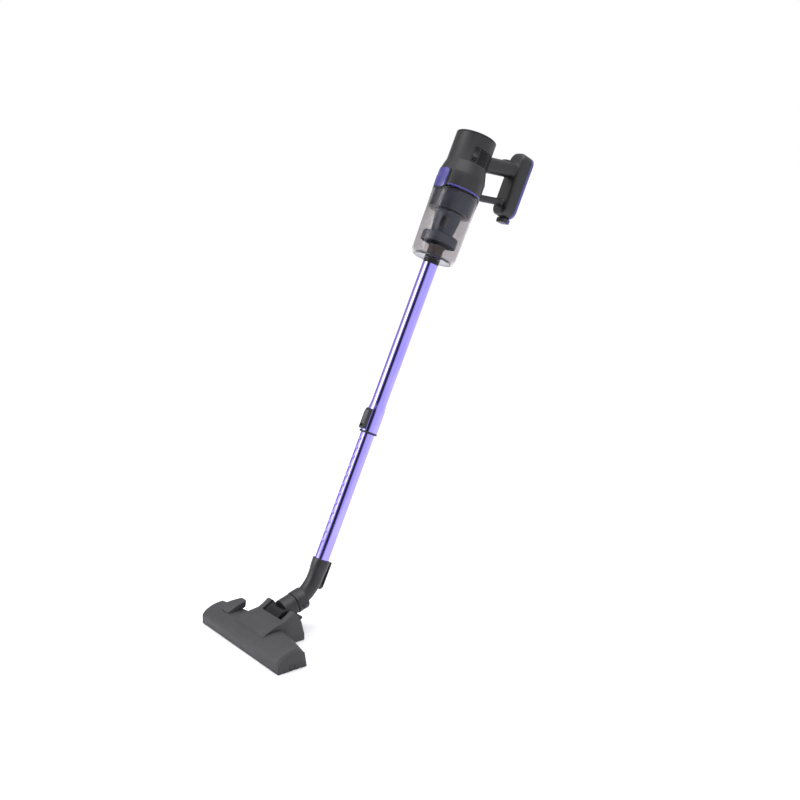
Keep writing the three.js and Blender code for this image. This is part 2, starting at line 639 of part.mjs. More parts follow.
function endCap(side) {
  const notches = [-40, -26, -12, 2].map((y) => box([-200, 200], [y - 4, y + 4], [-1, 2.4]));
  return cut(acrossX(headOutline(0, 0.2), ...span(side, HEAD_HALF - CAP_T, HEAD_HALF)),
    box(span(side, HEAD_HALF - 1.6, HEAD_HALF + 1), [-24, -10], [4, 12]), ...notches);
}

function solePlate() {
  const half = HEAD_HALF - CAP_T - GAP - 2.2 - GAP;
  const plate = box([-half, half], [HEAD_FRONT + 2.4 + GAP, HEAD_BACK - 3.1 - GAP], [0, SOLE_T]);
  return cut(plate,
    box([-120, 120], [-34, -16], [-1, 4]),
    ...[BRUSH_FRONT, BRUSH_REAR].map((y) => box([-134, 134], [y - 3, y + 3], [-1, 4])));
}

// Bristle strips hang from one carriage frame, which the pedal lowers through the sole's slots.
function brushCarriage() {
  const rail = (y) => box([-132, 132], [y - 2.4, y + 2.4], [7.4, 10.4]);
  const link = (x) => box([x - 3, x + 3], [BRUSH_FRONT, BRUSH_REAR], [7.8, 9.8]);
  return join(rail(BRUSH_FRONT), rail(BRUSH_REAR), link(-128), link(128));
}

const bristleStrip = (y) => box([-132, 132], [y - 1.6, y + 1.6], [0.6, 7.1]);

const brushPedal = () => {
  const side = shapeOf([
    [PEDAL.y0, 32], [PEDAL.y0, 36], [-17, 41.5], [-8, 47.5], [6, 52.5], [16, PEDAL.high - 0.6],
    [PEDAL.y1, PEDAL.high], [22, 50], [18.9, 43.7], [12, 41], [8, 34.5], [0, 28],
  ]);
  return cut(acrossX(side, PEDAL.x0, PEDAL.x1),
    box([PEDAL.x0 + 3, PEDAL.x1 - 3], [PEDAL.y0 + 3, 30], [20, 33]),
    crossRod(2.2, PEDAL.x0 - 5, PEDAL.x1 + 5, -4, 34.5, 16));
};

const pedalPin = () => crossRod(1.9, PEDAL.x0 - 0.4, PEDAL.x1 + 0.4, -4, 34.5, 16);

// Saddle over the air duct, with the two horns that carry the knuckle and the wheels.
function saddleCover() {
  const side = shapeOf([
    [-27, 24], [-25, 36.4], [-12, 43.5], [12, 50.5], [31, 53], [45, 60.5], [53, 66], [58, 67], [66, 57.5],
    [73.5, 43], [80, 12], [80, 1], [58, 1], [38, 4], [24, 16], [10, 16],
  ]);
  const plan = shapeOf([
    [-57.4, -29], [57.4, -29], [54, 20], [HORN_OUT, 26], [HORN_OUT, 84], [-HORN_OUT, 84], [-HORN_OUT, 26], [-54, 20],
  ]);
  const body = acrossX(side, -HORN_OUT - 12, HORN_OUT + 12).intersect(upZ(plan, 0, 80));
  const inner = shapeOf([[-22, 10], [-20, 36.6], [-10, 40], [24, 49.4], [24, 18], [10, 10]]);
  const notch = join(
    crossRod(25.2, -HORN_IN, HORN_IN, PIVOT_Y, PIVOT_Z, 48),
    box([-HORN_IN, HORN_IN], [PIVOT_Y - 12, 90], [0, 90]));
  return cut(body,
    acrossX(inner, -28, 28),
    box([-19, 19], [20, 40], [24, 46]),
    notch,
    headBody(-GAP, 0, HEAD_HALF - CAP_T - GAP, SHOULDER - GAP),
    ...[1, -1].map((side) => box(span(side, WHEEL_IN - 1, WHEEL_OUT + 1), [WHEEL_Y - 15, WHEEL_Y + 14.5], [-1, 27])),
    crossRod(4.1, 2 - HORN_OUT, HORN_OUT - 2, PIVOT_Y, PIVOT_Z, 20),
    crossRod(2.1, 1.2 - HORN_OUT, HORN_OUT - 1.2, WHEEL_Y, WHEEL_R, 16));
}

const pivotPin = (side) => crossRod(3.8, ...span(side, HORN_IN - 4, HORN_OUT - 2.4), PIVOT_Y, PIVOT_Z, 20);

// Wheel with its own stub axles, which run in the horns' bores.
const wheel = (side) => join(
  crossRod(WHEEL_R, ...span(side, WHEEL_IN, WHEEL_OUT), WHEEL_Y, WHEEL_R, 32),
  crossRod(1.8, ...span(side, HORN_IN + 0.6, HORN_OUT - 1.4), WHEEL_Y, WHEEL_R, 16));

// ---------------------------------------------------------------- assembly
inWand("motor_housing", motorHousing(), MAT.black);
inWand("motor_top_cap", motorTopCap(), MAT.black);
inWand("vent_grille_right", ventGrille(1), MAT.black);
inWand("vent_grille_left", ventGrille(-1), MAT.black);
inWand("accent_ring", accentRing(), MAT.purple);
inWand("button_bezel", buttonBezel(), MAT.black);
inWand("cup_button", cupButton(), MAT.purple);
inWand("motor_can", motorCan(), MAT.steel);
inWand("motor_mount", motorMount(), MAT.rubber);
inWand("impeller", impeller(), MAT.grey);
inWand("fan_shroud", fanShroud(), MAT.grey);
inWand("control_board", controlBoard(), MAT.board);
inWand("handle_shell_right", handleHalf(1), MAT.black);
inWand("handle_shell_left", handleHalf(-1), MAT.black);
inWand("power_button", powerButton(), MAT.black);
inWand("battery_cover", batteryCover(), MAT.purple);
inWand("battery_case", batteryCase(), MAT.black);
for (let i = 0; i < 4; i++) inWand(`battery_cell_${i + 1}`, batteryCell(i), MAT.cell);
inWand("battery_latch", batteryLatch(), MAT.black);

inWand("cup_shell", cupShell(), MAT.smoke);
inWand("cup_floor", cupFloor(), MAT.smoke);
inWand("floor_seal", floorSeal(), MAT.rubber);
inWand("rim_seal", rimSeal(), MAT.rubber);
inWand("inlet_duct", inletDuct(), MAT.amber);
inWand("inlet_collar", inletCollar(), MAT.black);
inWand("cyclone_dish", cycloneDish(), MAT.black);
inWand("cyclone_cone", cycloneCone(), MAT.black);
inWand("cone_mesh", coneMesh(), MAT.steel);
inWand("filter_frame", filterFrame(), MAT.black);
inWand("pleated_filter", pleatedFilter(), MAT.filter);

inWand("wand_connector", wandConnector(), MAT.black);
inWand("upper_tube", upperTube(), MAT.violet);
inWand("tube_end_ring", tubeEndRing(), MAT.black);
inWand("tube_guide", tubeGuide(), MAT.grey);
inWand("latch_frame", latchFrame(), MAT.black);
inWand("latch_slider", latchSlider(), MAT.grey);
inWand("latch_pin", latchPin(), MAT.steel);
inWand("lower_tube", lowerTube(), MAT.violet);

inWand("elbow_pipe", elbowPipe(), MAT.neck);
inWand("parking_clip", parkingClip(), MAT.neck);
inNeck("swivel_collar", swivelCollar(), MAT.neck);
inNeck("collar_pin", collarPin(), MAT.neck);
inNeck("neck_knuckle", neckKnuckle(), MAT.neck);

inHead("head_shell", headShell(), MAT.charcoal);
inHead("sole_plate", solePlate(), MAT.black);
inHead("end_cap_right", endCap(1), MAT.black);
inHead("end_cap_left", endCap(-1), MAT.black);
inHead("saddle_cover", saddleCover(), MAT.charcoal);
inHead("brush_pedal", brushPedal(), MAT.charcoal);
inHead("pedal_pin", pedalPin(), MAT.steel);
inHead("brush_carriage", brushCarriage(), MAT.grey);
inHead("bristle_strip_front", bristleStrip(BRUSH_FRONT), MAT.bristle);
inHead("bristle_strip_rear", bristleStrip(BRUSH_REAR), MAT.bristle);
for (const [name, side] of [["right", 1], ["left", -1]]) {
  inHead(`pivot_pin_${name}`, pivotPin(side), MAT.steel);
  inHead(`wheel_${name}`, wheel(side), MAT.rubber);
}

export default vacuum;
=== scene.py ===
"""Cordless stick vacuum: the looks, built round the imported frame. Lengths are in millimetres."""

import math

import bpy
import bmesh
from mathutils import Matrix, Vector


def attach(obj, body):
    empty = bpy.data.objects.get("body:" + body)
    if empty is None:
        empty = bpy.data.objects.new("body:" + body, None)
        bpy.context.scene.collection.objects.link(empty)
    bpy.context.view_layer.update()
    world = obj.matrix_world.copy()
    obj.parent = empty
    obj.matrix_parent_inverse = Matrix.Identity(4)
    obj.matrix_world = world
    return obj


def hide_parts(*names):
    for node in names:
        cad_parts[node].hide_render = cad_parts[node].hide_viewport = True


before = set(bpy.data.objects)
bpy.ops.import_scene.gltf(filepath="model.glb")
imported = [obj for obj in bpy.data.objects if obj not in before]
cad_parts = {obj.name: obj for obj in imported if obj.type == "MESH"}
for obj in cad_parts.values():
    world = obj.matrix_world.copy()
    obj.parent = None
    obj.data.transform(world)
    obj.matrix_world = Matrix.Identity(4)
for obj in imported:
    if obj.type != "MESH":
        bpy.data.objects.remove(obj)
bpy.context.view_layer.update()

MM = 0.001
TURN = 2 * math.pi

# ---------------------------------------------------------------- camera, floor and light
EYE = (1.8836, -1.0948, 1.0365)
camera_data = bpy.data.cameras.new("camera")
camera_data.lens = 50
camera_data.sensor_width = 36
camera = bpy.data.objects.new("camera", camera_data)
camera.location = EYE
camera.rotation_euler = (math.radians(76.61), 0, math.radians(52.01))
bpy.context.collection.objects.link(camera)
bpy.context.scene.camera = camera
bpy.context.scene.view_settings.view_transform = "Standard"


def linear(hex_colour):
    """An sRGB hex colour as linear RGBA."""
    parts = [int(hex_colour[i:i + 2], 16) / 255 for i in (1, 3, 5)]
    return [c / 12.92 if c <= 0.04045 else ((c + 0.055) / 1.055) ** 2.4 for c in parts] + [1]


def add(tree, kind, links=None, **settings):
    """Adds a node. Settings name its sockets or its properties; links name a socket and what feeds it."""
    made = tree.nodes.new("ShaderNode" + kind)
    for name, value in settings.items():
        socket = made.inputs.get(name.replace("_", " "))
        if socket is not None and not hasattr(made, name):
            socket.default_value = value
        else:
            setattr(made, name, value)
    for name, source in (links or {}).items():
        tree.links.new(source, made.inputs[name])
    return made


def ramp(tree, source, *stops):
    """A colour ramp through (position, hex or grey) stops."""
    made = add(tree, "ValToRGB", {"Fac": source})
    points = made.color_ramp.elements
    while len(points) < len(stops):
        points.new(0.5)
    for point, (position, colour) in zip(points, stops):
        point.position = position
        point.color = linear(colour) if isinstance(colour, str) else (colour, colour, colour, 1)
    return made


def studio_world():
    """Soft room light that varies round the compass, with a dark opening beside the camera as a studio has."""
    world = bpy.data.worlds.new("studio")
    bpy.context.scene.world = world
    world.use_nodes = True
    tree = world.node_tree
    tree.nodes.clear()
    toward = add(tree, "SeparateXYZ", {"Vector": add(tree, "TexCoord").outputs["Generated"]})
    compass = add(tree, "Math", operation="ARCTAN2")
    tree.links.new(toward.outputs["Y"], compass.inputs[0])
    tree.links.new(toward.outputs["X"], compass.inputs[1])
    share = add(tree, "MapRange", {"Value": compass.outputs[0]})
    share.inputs["From Min"].default_value = -math.pi
    share.inputs["From Max"].default_value = math.pi
    at = lambda degrees: (degrees + 180) / 360
    round_room = ramp(
        tree, share.outputs[0],
        (at(-178), 0.50), (at(-148), 0.50), (at(-136), 1.7), (at(-108), 1.8), (at(-92), 0.9), (at(-80), 0.5),
        (at(-72), 0.035), (at(-40), 0.03), (at(-34), 0.8), (at(-10), 1.1), (at(35), 1.1), (at(90), 0.85),
        (at(178), 0.50))
    overhead = add(tree, "MapRange", {"Value": toward.outputs["Z"]}, interpolation_type="SMOOTHSTEP")
    overhead.inputs["From Min"].default_value = 0.55
    overhead.inputs["From Max"].default_value = 0.85
    room = add(tree, "Mix", {"Factor": overhead.outputs[0]}, data_type="RGBA")
    tree.links.new(round_room.outputs[0], room.inputs[6])
    room.inputs[7].default_value = (1.5, 1.5, 1.55, 1)
    lit = add(tree, "Background", {"Color": room.outputs[2]}, Strength=1.0)
    seen = add(tree, "Background", Color=linear("#ffffff"), Strength=1.0)
    seen_or_lit = add(tree, "MixShader", {"Fac": add(tree, "LightPath").outputs["Is Camera Ray"]})
    tree.links.new(lit.outputs[0], seen_or_lit.inputs[1])
    tree.links.new(seen.outputs[0], seen_or_lit.inputs[2])
    add(tree, "OutputWorld", {"Surface": seen_or_lit.outputs[0]})


def softbox(name, at, aim, size, watts):
    lamp = bpy.data.lights.new(name, "AREA")
    lamp.shape = "RECTANGLE"
    lamp.size, lamp.size_y = size
    lamp.energy = watts
    lamp_object = bpy.data.objects.new(name, lamp)
    lamp_object.location = at
    lamp_object.rotation_euler = (Vector(aim) - Vector(at)).to_track_quat("-Z", "Y").to_euler()
    bpy.context.collection.objects.link(lamp_object)


studio_world()
softbox("softbox_left", (-1.0, -2.6, 2.2), (0, 0.3, 0.5), (1.2, 2.2), 46)
softbox("softbox_top", (0.6, 0.6, 3.2), (0, 0.3, 0.4), (2.4, 2.4), 36)


# ---------------------------------------------------------------- material recipes
def blank(name):
    material = bpy.data.materials.new(name)
    material.use_nodes = True
    tree = material.node_tree
    tree.nodes.clear()
    return material, tree


def close(tree, shader):
    add(tree, "OutputMaterial", {"Surface": shader.outputs[0]})


def moulded(name, colour, roughness, grain=0.55, depth=0.06, coat=0.0):
    """Injection-moulded plastic. The tool's spark-eroded grain breaks up the gloss, and the pigment clouds a little.

    Real grain is 0.1 to 0.3 mm; it is drawn at `grain` mm so that it shows."""
    material, tree = blank(name)
    place_in = add(tree, "TexCoord").outputs["Object"]
    clouds = add(tree, "TexNoise", {"Vector": place_in}, Scale=1 / (45 * MM), Detail=3.0, Roughness=0.6)
    light, dark = shade(colour, 1.09), shade(colour, 0.91)
    pigment = ramp(tree, clouds.outputs["Fac"], (0.3, dark), (0.7, light))
    eroded = add(tree, "TexNoise", {"Vector": place_in}, Scale=1 / (grain * MM), Detail=2.0, Roughness=0.5)
    wiped = add(tree, "TexNoise", {"Vector": place_in}, Scale=1 / (18 * MM), Detail=4.0, Roughness=0.65)
    gloss = add(tree, "MapRange", {"Value": wiped.outputs["Fac"]})
    gloss.inputs["From Min"].default_value = 0.3
    gloss.inputs["From Max"].default_value = 0.7
    gloss.inputs["To Min"].default_value = roughness - 0.04
    gloss.inputs["To Max"].default_value = roughness + 0.05
    relief = add(tree, "Bump", {"Height": eroded.outputs["Fac"]}, Strength=depth, Distance=0.12 * MM)
    surface = add(tree, "BsdfPrincipled", {
        "Base Color": pigment.outputs[0], "Roughness": gloss.outputs[0], "Normal": relief.outputs[0]})
    surface.inputs["Coat Weight"].default_value = coat
    close(tree, surface)
    return material


def shade(hex_colour, times):
    """The same hex colour, lighter or darker."""
    parts = [min(255, round(int(hex_colour[i:i + 2], 16) * times)) for i in (1, 3, 5)]
    return "#%02x%02x%02x" % tuple(parts)


def drawn_metal(name, colour, tint, roughness, lean=0.0):
    """Metal tube or rod. Drawing and polishing leave faint lines along it, 0.2 mm apart and drawn at 0.6 mm."""
    material, tree = blank(name)
    place_in = add(tree, "TexCoord").outputs["Object"]
    along = add(tree, "Mapping", {"Vector": place_in}, Rotation=(lean, 0, 0), Scale=(1, 1, 0.01))
    lines = add(tree, "TexNoise", {"Vector": along.outputs[0]}, Scale=1 / (0.6 * MM), Detail=3.0, Roughness=0.55)
    patches = add(tree, "TexNoise", {"Vector": place_in}, Scale=1 / (60 * MM), Detail=2.0, Roughness=0.5)
    dye = ramp(tree, patches.outputs["Fac"], (0.3, colour), (0.7, tint))
    gloss = add(tree, "MapRange", {"Value": lines.outputs["Fac"]})
    gloss.inputs["To Min"].default_value = roughness - 0.03
    gloss.inputs["To Max"].default_value = roughness + 0.04
    relief = add(tree, "Bump", {"Height": lines.outputs["Fac"]}, Strength=0.05, Distance=0.05 * MM)
    surface = add(tree, "BsdfPrincipled", {
        "Base Color": dye.outputs[0], "Roughness": gloss.outputs[0], "Normal": relief.outputs[0]})
    surface.inputs["Metallic"].default_value = 1.0
    close(tree, surface)
    return material


def tinted_clear(name, colour, haze, clear=1.0):
    """Clear polycarbonate with a smoke dye: glossy outside, and a faint moulding haze."""
    material, tree = blank(name)
    place_in = add(tree, "TexCoord").outputs["Object"]
    haze_map = add(tree, "TexNoise", {"Vector": place_in}, Scale=1 / (30 * MM), Detail=3.0, Roughness=0.6)
    gloss = add(tree, "MapRange", {"Value": haze_map.outputs["Fac"]})
    gloss.inputs["To Min"].default_value = haze
    gloss.inputs["To Max"].default_value = haze + 0.04
    dye = ramp(tree, haze_map.outputs["Fac"], (0.3, shade(colour, 0.98)), (0.7, shade(colour, 1.02)))
    surface = add(tree, "BsdfPrincipled", {"Base Color": dye.outputs[0], "Roughness": gloss.outputs[0]})
    surface.inputs["Transmission Weight"].default_value = clear
    surface.inputs["IOR"].default_value = 1.2
    close(tree, surface)
    return material


def woven_holes(name, colour, pitch):
    """Perforated sheet steel: round holes in a grid, drawn as dark dots at `pitch` mm: painted shade for the dark
    inside seen through the holes.
    """
    material, tree = blank(name)
    place_in = add(tree, "TexCoord").outputs["Object"]
    dots = add(tree, "TexVoronoi", {"Vector": place_in}, Scale=1 / (pitch * MM), Randomness=0.0)
    # Painted shade: the holes are near-black dots, not openings.
    holes = ramp(tree, dots.outputs["Distance"], (0.30, "#050506"), (0.36, colour))
    surface = add(tree, "BsdfPrincipled", {"Base Color": holes.outputs[0]}, Roughness=0.35, Metallic=1.0)
    close(tree, surface)
    return material


def fibrous(name, colour, spacing):
    """Paper or bristle: fine fibres make it dull and uneven."""
    material, tree = blank(name)
    place_in = add(tree, "TexCoord").outputs["Object"]
    fibres = add(tree, "TexNoise", {"Vector": place_in}, Scale=1 / (spacing * MM), Detail=5.0, Roughness=0.7)
    tone = ramp(tree, fibres.outputs["Fac"], (0.3, shade(colour, 0.8)), (0.7, shade(colour, 1.1)))
    relief = add(tree, "Bump", {"Height": fibres.outputs["Fac"]}, Strength=0.4, Distance=0.2 * MM)
    surface = add(tree, "BsdfPrincipled", {"Base Color": tone.outputs[0], "Normal": relief.outputs[0]}, Roughness=0.92)
    close(tree, surface)
    return material


LEAN = math.radians(25.9)

# Satin ABS of the motor housing and handle: fine grain, a soft broad highlight.
satin_abs_black = moulded("satin_abs_black", "#101013", 0.40)
# Matte ABS of the floor head: coarser spark-eroded grain, no clear reflections.
matte_abs_charcoal = moulded("matte_abs_charcoal", "#313134", 0.58, grain=0.8, depth=0.12)
# The end caps are the same ABS as the head, drawn darker: painted shade, as their flat sides face away from the key
# light.
matte_abs_painted_shade = moulded("matte_abs_painted_shade", "#29292c", 0.55, grain=0.8, depth=0.10)
# Polypropylene of the neck and elbow: waxy, a little glossier than the head.
polypropylene_neck = moulded("polypropylene_neck", "#151518", 0.42, grain=0.6, depth=0.05)
# Polished purple ABS of the accents.
polished_abs_purple = moulded("polished_abs_purple", "#38357c", 0.26, grain=0.9, depth=0.015, coat=0.25)
# Grey soft-touch ABS of the thumb pad.
satin_abs_grey = moulded("satin_abs_grey", "#4c4d51", 0.50, grain=0.7, depth=0.12)
# Smoked styrene of the cyclone inside the cup: dark, bluish, glossy.
smoked_styrene = moulded("smoked_styrene", "#5c6170", 0.22, grain=0.9, depth=0.02)
# Nitrile rubber of seals and tyres: dead matt.
nitrile_rubber = moulded("nitrile_rubber", "#1b1b1d", 0.80, grain=0.5, depth=0.15)
# Anodised aluminium tube, polished before it was dyed violet: mirror-like, with faint drawing lines.
anodised_violet = drawn_metal("anodised_violet", "#a095ff", "#aa9fff", 0.13, LEAN)
# Bright steel of pins.
bright_steel = drawn_metal("bright_steel", "#bcbcc2", "#c8c8cc", 0.28)
# Zinc-plated motor can.
zinc_plated_can = drawn_metal("zinc_plated_can", "#9c9da4", "#b0b1b6", 0.34, LEAN)
# Smoked polycarbonate of the dust cup, and the browner inlet duct.
smoked_polycarbonate = tinted_clear("smoked_polycarbonate", "#cdcaca", 0.02)
amber_polycarbonate = tinted_clear("amber_polycarbonate", "#8d8380", 0.26, clear=0.35)
# The cup's hinged base is a thicker, bluer pane, on a grey silicone seal.
smoked_base = tinted_clear("smoked_base", "#b8bac4", 0.03)
silicone_seal = moulded("silicone_seal", "#6a6c74", 0.60, grain=0.7, depth=0.05)
# Perforated steel cone: 1 mm holes at 1.8 mm, drawn as painted shade.
perforated_steel = woven_holes("perforated_steel", "#8a8b90", 1.8)
filter_paper = fibrous("filter_paper", "#e4e1d8", 1.2)
nylon_bristle = fibrous("nylon_bristle", "#202022", 0.6)
# Epoxy board with green solder mask, and the blue shrink wrap of the cells.
solder_mask_green = moulded("solder_mask_green", "#1f5a38", 0.35)
shrink_wrap_blue = moulded("shrink_wrap_blue", "#2f7fb4", 0.30)


# ---------------------------------------------------------------- shaping helpers
def only(piece):
    bpy.ops.object.select_all(action="DESELECT")
    piece.select_set(True)
    bpy.context.view_layer.objects.active = piece


def edit(piece):
    only(piece)
    bpy.ops.object.mode_set(mode="EDIT")
    bpy.ops.mesh.select_mode(type="VERT")
    bpy.ops.mesh.select_all(action="SELECT")


def leave(outward=True):
    if outward:
        bpy.ops.mesh.select_all(action="SELECT")
        bpy.ops.mesh.normals_make_consistent(inside=False)
    bpy.ops.object.mode_set(mode="OBJECT")


def hold(name):
    """Names the primitive that was just added."""
    piece = bpy.context.object
    piece.name = piece.data.name = name
    return piece


def outline(name, points, filled=False):
    """A closed chain of edges, or a face, through (x, y, z) points."""
    bpy.ops.object.select_all(action="DESELECT")
    bpy.ops.mesh.primitive_circle_add(vertices=len(points), radius=1, fill_type="NGON" if filled else "NOTHING")
    piece = hold(name)
    for vertex, point in zip(piece.data.vertices, points):
        vertex.co = Vector(point) * MM
    return piece


def turned(name, profile, sides=96):
    """A turned piece: its half section of (radius, height) points, spun about the upright axis."""
    piece = outline(name, [(r, 0, z) for r, z in profile])
    edit(piece)
    bpy.ops.mesh.spin(steps=sides, angle=TURN, center=(0, 0, 0), axis=(0, 0, 1))
    bpy.ops.mesh.select_all(action="SELECT")
    bpy.ops.mesh.remove_doubles(threshold=1e-6)
    bpy.ops.mesh.delete_loose()
    leave()
    return piece


def tube(name, inner, outer, low, high, sides=96, ease=0.0):
    """A turned ring with its outer edges eased."""
    e = ease
    corners = [(inner, low), (outer - e, low), (outer, low + e), (outer, high - e), (outer - e, high), (inner, high)]
    return turned(name, corners if e else [(inner, low), (outer, low), (outer, high), (inner, high)], sides)


def carried(name, points, axis, low, high):
    """A flat outline in the other two axes, carried along one axis from low to high."""
    spread = {"x": lambda a, b: (low, a, b), "y": lambda a, b: (a, low, b), "z": lambda a, b: (a, b, low)}[axis]
    run = {"x": (1, 0, 0), "y": (0, 1, 0), "z": (0, 0, 1)}[axis]
    piece = outline(name, [spread(a, b) for a, b in points], filled=True)
    edit(piece)
    bpy.ops.mesh.extrude_region_move(TRANSFORM_OT_translate={"value": Vector(run) * (high - low) * MM})
    leave()
    return piece


def drawn_out(name, points, axis, low, steps):
    """Like `carried`, but each step moves the end by (a, b, along) and scales it by (sa, sb)."""
    order = {"x": (1, 2, 0), "y": (0, 2, 1), "z": (0, 1, 2)}[axis]

    def spread(a, b, c):
        out = [0, 0, 0]
        out[order[0]], out[order[1]], out[order[2]] = a, b, c
        return Vector(out)

    middle = spread(sum(p[0] for p in points) / len(points), sum(p[1] for p in points) / len(points), low)
    piece = outline(name, [spread(a, b, low) for a, b in points], filled=True)
    edit(piece)
    for (a, b, c), (sa, sb) in steps:
        move = spread(a, b, c)
        middle = middle + move
        bpy.ops.mesh.extrude_region_move(TRANSFORM_OT_translate={"value": move * MM})
        bpy.ops.transform.resize(value=spread(sa, sb, 1), center_override=middle * MM)
    leave()
    return piece


def rounded(points, radii, steps=6):
    """An outline with its corners rounded. radii is one number, or one for each corner."""
    out = []
    count = len(points)
    radii = radii if isinstance(radii, (list, tuple)) else [radii] * count
    for i, radius in enumerate(radii):
        here, before, after = Vector(points[i]), Vector(points[i - 1]), Vector(points[(i + 1) % count])
        to_before, to_after = (before - here), (after - here)
        half = to_before.angle(to_after) / 2
        reach = min(radius / math.tan(half), 0.48 * to_before.length, 0.48 * to_after.length)
        if radius <= 0 or reach < 0.02:
            out.append(tuple(here))
            continue
        start, end = here + to_before.normalized() * reach, here + to_after.normalized() * reach
        for k in range(steps + 1):
            t = k / steps
            out.append(tuple(arc_point(start, here, end, half, t)))
    return out


def arc_point(start, corner, end, half, t):
    """A point on the arc that touches both sides of a corner, as a rational quadratic curve."""
    w = math.sin(half)
    a, b, c = (1 - t) ** 2, 2 * t * (1 - t) * w, t ** 2
    return (start * a + corner * b + end * c) / (a + b + c)


def panel(half, low, high, radius, steps=8, shrink=0.0):
    """A rounded rectangle about X = 0."""
    h, lo, hi = half - shrink, low + shrink, high - shrink
    return rounded([(-h, lo), (h, lo), (h, hi), (-h, hi)], max(radius - shrink, 0.3), steps)


def bezier(p0, p1, p2, p3, steps=10):
    """Points on a cubic curve, without its first."""
    p0, p1, p2, p3 = map(Vector, (p0, p1, p2, p3))
    out = []
    for k in range(1, steps + 1):
        t = k / steps
        out.append(tuple(p0 * (1 - t) ** 3 + p1 * 3 * t * (1 - t) ** 2 + p2 * 3 * t * t * (1 - t) + p3 * t ** 3))
    return out


def apply(piece, modifier):
    only(piece)
    bpy.ops.object.modifier_apply(modifier=modifier.name)


def combine(piece, other, how):
    modifier = piece.modifiers.new("cut", "BOOLEAN")
    modifier.operation = how
    modifier.object = other
    modifier.solver = "EXACT"
    apply(piece, modifier)
    bpy.data.objects.remove(other)
    return piece


def carve(piece, *cutters):
    for cutter in cutters:
        combine(piece, cutter, "DIFFERENCE")
    return piece


def unite(piece, *others):
    for other in others:
        combine(piece, other, "UNION")
    return piece


def common(piece, other):
    return combine(piece, other, "INTERSECT")


def soften(piece, width, segments=3, angle=30):
    modifier = piece.modifiers.new("soft_edges", "BEVEL")
    modifier.width = width * MM
    modifier.segments = segments
    modifier.limit_method = "ANGLE"
    modifier.angle_limit = math.radians(angle)
    modifier.use_clamp_overlap = True
    apply(piece, modifier)
    return piece


def moved(piece, shift=(0, 0, 0), turn=(0, 0, 0)):
    """Moves and turns a piece, and puts its place into its mesh."""
    piece.location = Vector(shift) * MM
    piece.rotation_euler = turn
    only(piece)
    bpy.ops.object.transform_apply(location=True, rotation=True, scale=True)
    return piece


def copied(piece, name, shift=(0, 0, 0), turn=(0, 0, 0)):
    """A copy of a piece with its own mesh."""
    twin = piece.copy()
    twin.data = piece.data.copy()
    twin.name = twin.data.name = name
    bpy.context.collection.objects.link(twin)
    return moved(twin, shift, turn)


def mirrored(piece, name):
    """The same piece on the other side of X = 0, facing outwards."""
    twin = copied(piece, name)
    twin.scale = (-1, 1, 1)
    only(twin)
    bpy.ops.object.transform_apply(location=True, rotation=True, scale=True)
    edit(twin)
    leave()
    return twin


def gathered(name, pieces):
    """Separate shapes as one piece."""
    bpy.ops.object.select_all(action="DESELECT")
    for piece in pieces:
        piece.select_set(True)
    bpy.context.view_layer.objects.active = pieces[0]
    bpy.ops.object.join()
    return hold(name)


def on_x(piece, y=0.0, z=0.0):
    """Lays a turned piece's axis along X, through (y, z)."""
    return moved(piece, (0, y, z), (0, math.pi / 2, 0))


WAND = ((0, 90.7, 0), (-LEAN, 0, 0))                             # local Z runs up the wand, local Y is back
SWIVEL = (0, 87.3, 63.65)
NECK_RISE = math.radians(16)
NECK = (SWIVEL, (-(math.pi / 2 - NECK_RISE), 0, 0))              # local Z runs back along the swivel, local Y is down
HEAD = ((0, 0, 0), (0, 0, 0))


def fit(piece, where, body, slot, material, *nodes, smooth=34):
    """Puts a finished piece in its place, on its body, in its material."""
    moved(piece, *where)
    bpy.ops.object.shade_smooth_by_angle(angle=math.radians(smooth))
    piece.data.materials.clear()
    piece.data.materials.append(material)
    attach(piece, body)
    if nodes:
        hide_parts(*nodes)
    return piece


# ---------------------------------------------------------------- motor housing
VENT_LOW, VENT_HIGH = 1079.5, 1115
BUTTON_LOW, BUTTON_HIGH = 1007, 1051


def side_window(side):
    """Cutter for the exhaust opening on one side of the motor barrel."""
    low, high = (22, 70) if side > 0 else (-70, -22)
    shape = [(b, a) for b, a in rounded(
        [(-27, VENT_LOW), (37.2, VENT_LOW), (37.2, VENT_HIGH), (-27, VENT_HIGH)], 5, 6)]
    return carried("window_cutter", shape, "x", low, high)


housing = turned("motor_housing_shell", [
    (51.1, 1019.3), (53.2, 1019.3), (53.5, 1019.7), (53.5, 1050.4), (53.35, 1051.3), (49.8, 1065), (46.25, 1078.4),
    (46, 1079.5), (46, 1142.1), (45.6, 1142.5), (43.6, 1142.5), (43.6, 1079), (51.1, 1051)], 128)
carve(housing, side_window(1), side_window(-1),
      carried("button_cutter", panel(18.9, BUTTON_LOW, BUTTON_HIGH + 2.1, 7), "y", -62, -42))
fit(housing, WAND, "hand_unit", "body_black", satin_abs_black, "motor_housing")

fit(turned("motor_top_cap_disc", [
    (0, 1142.9), (45.5, 1142.9), (46, 1143.2), (46, 1144.6), (45.7, 1145.5), (44.9, 1146.2), (43.6, 1146.5),
    (40, 1146.3), (38.5, 1145.9), (0, 1145.7)], 128), WAND, "hand_unit", "body_black", satin_abs_black, "motor_top_cap")

SLOT_ROWS, SLOT_PITCH, SLOT_HEIGHT = 11, 3.0, 2.1
WEB, HALF_SLOT = 0.9, 1.75
PLATE_R = 44.3
VENT_FROM, VENT_RIB = math.radians(54.6), math.radians(72)


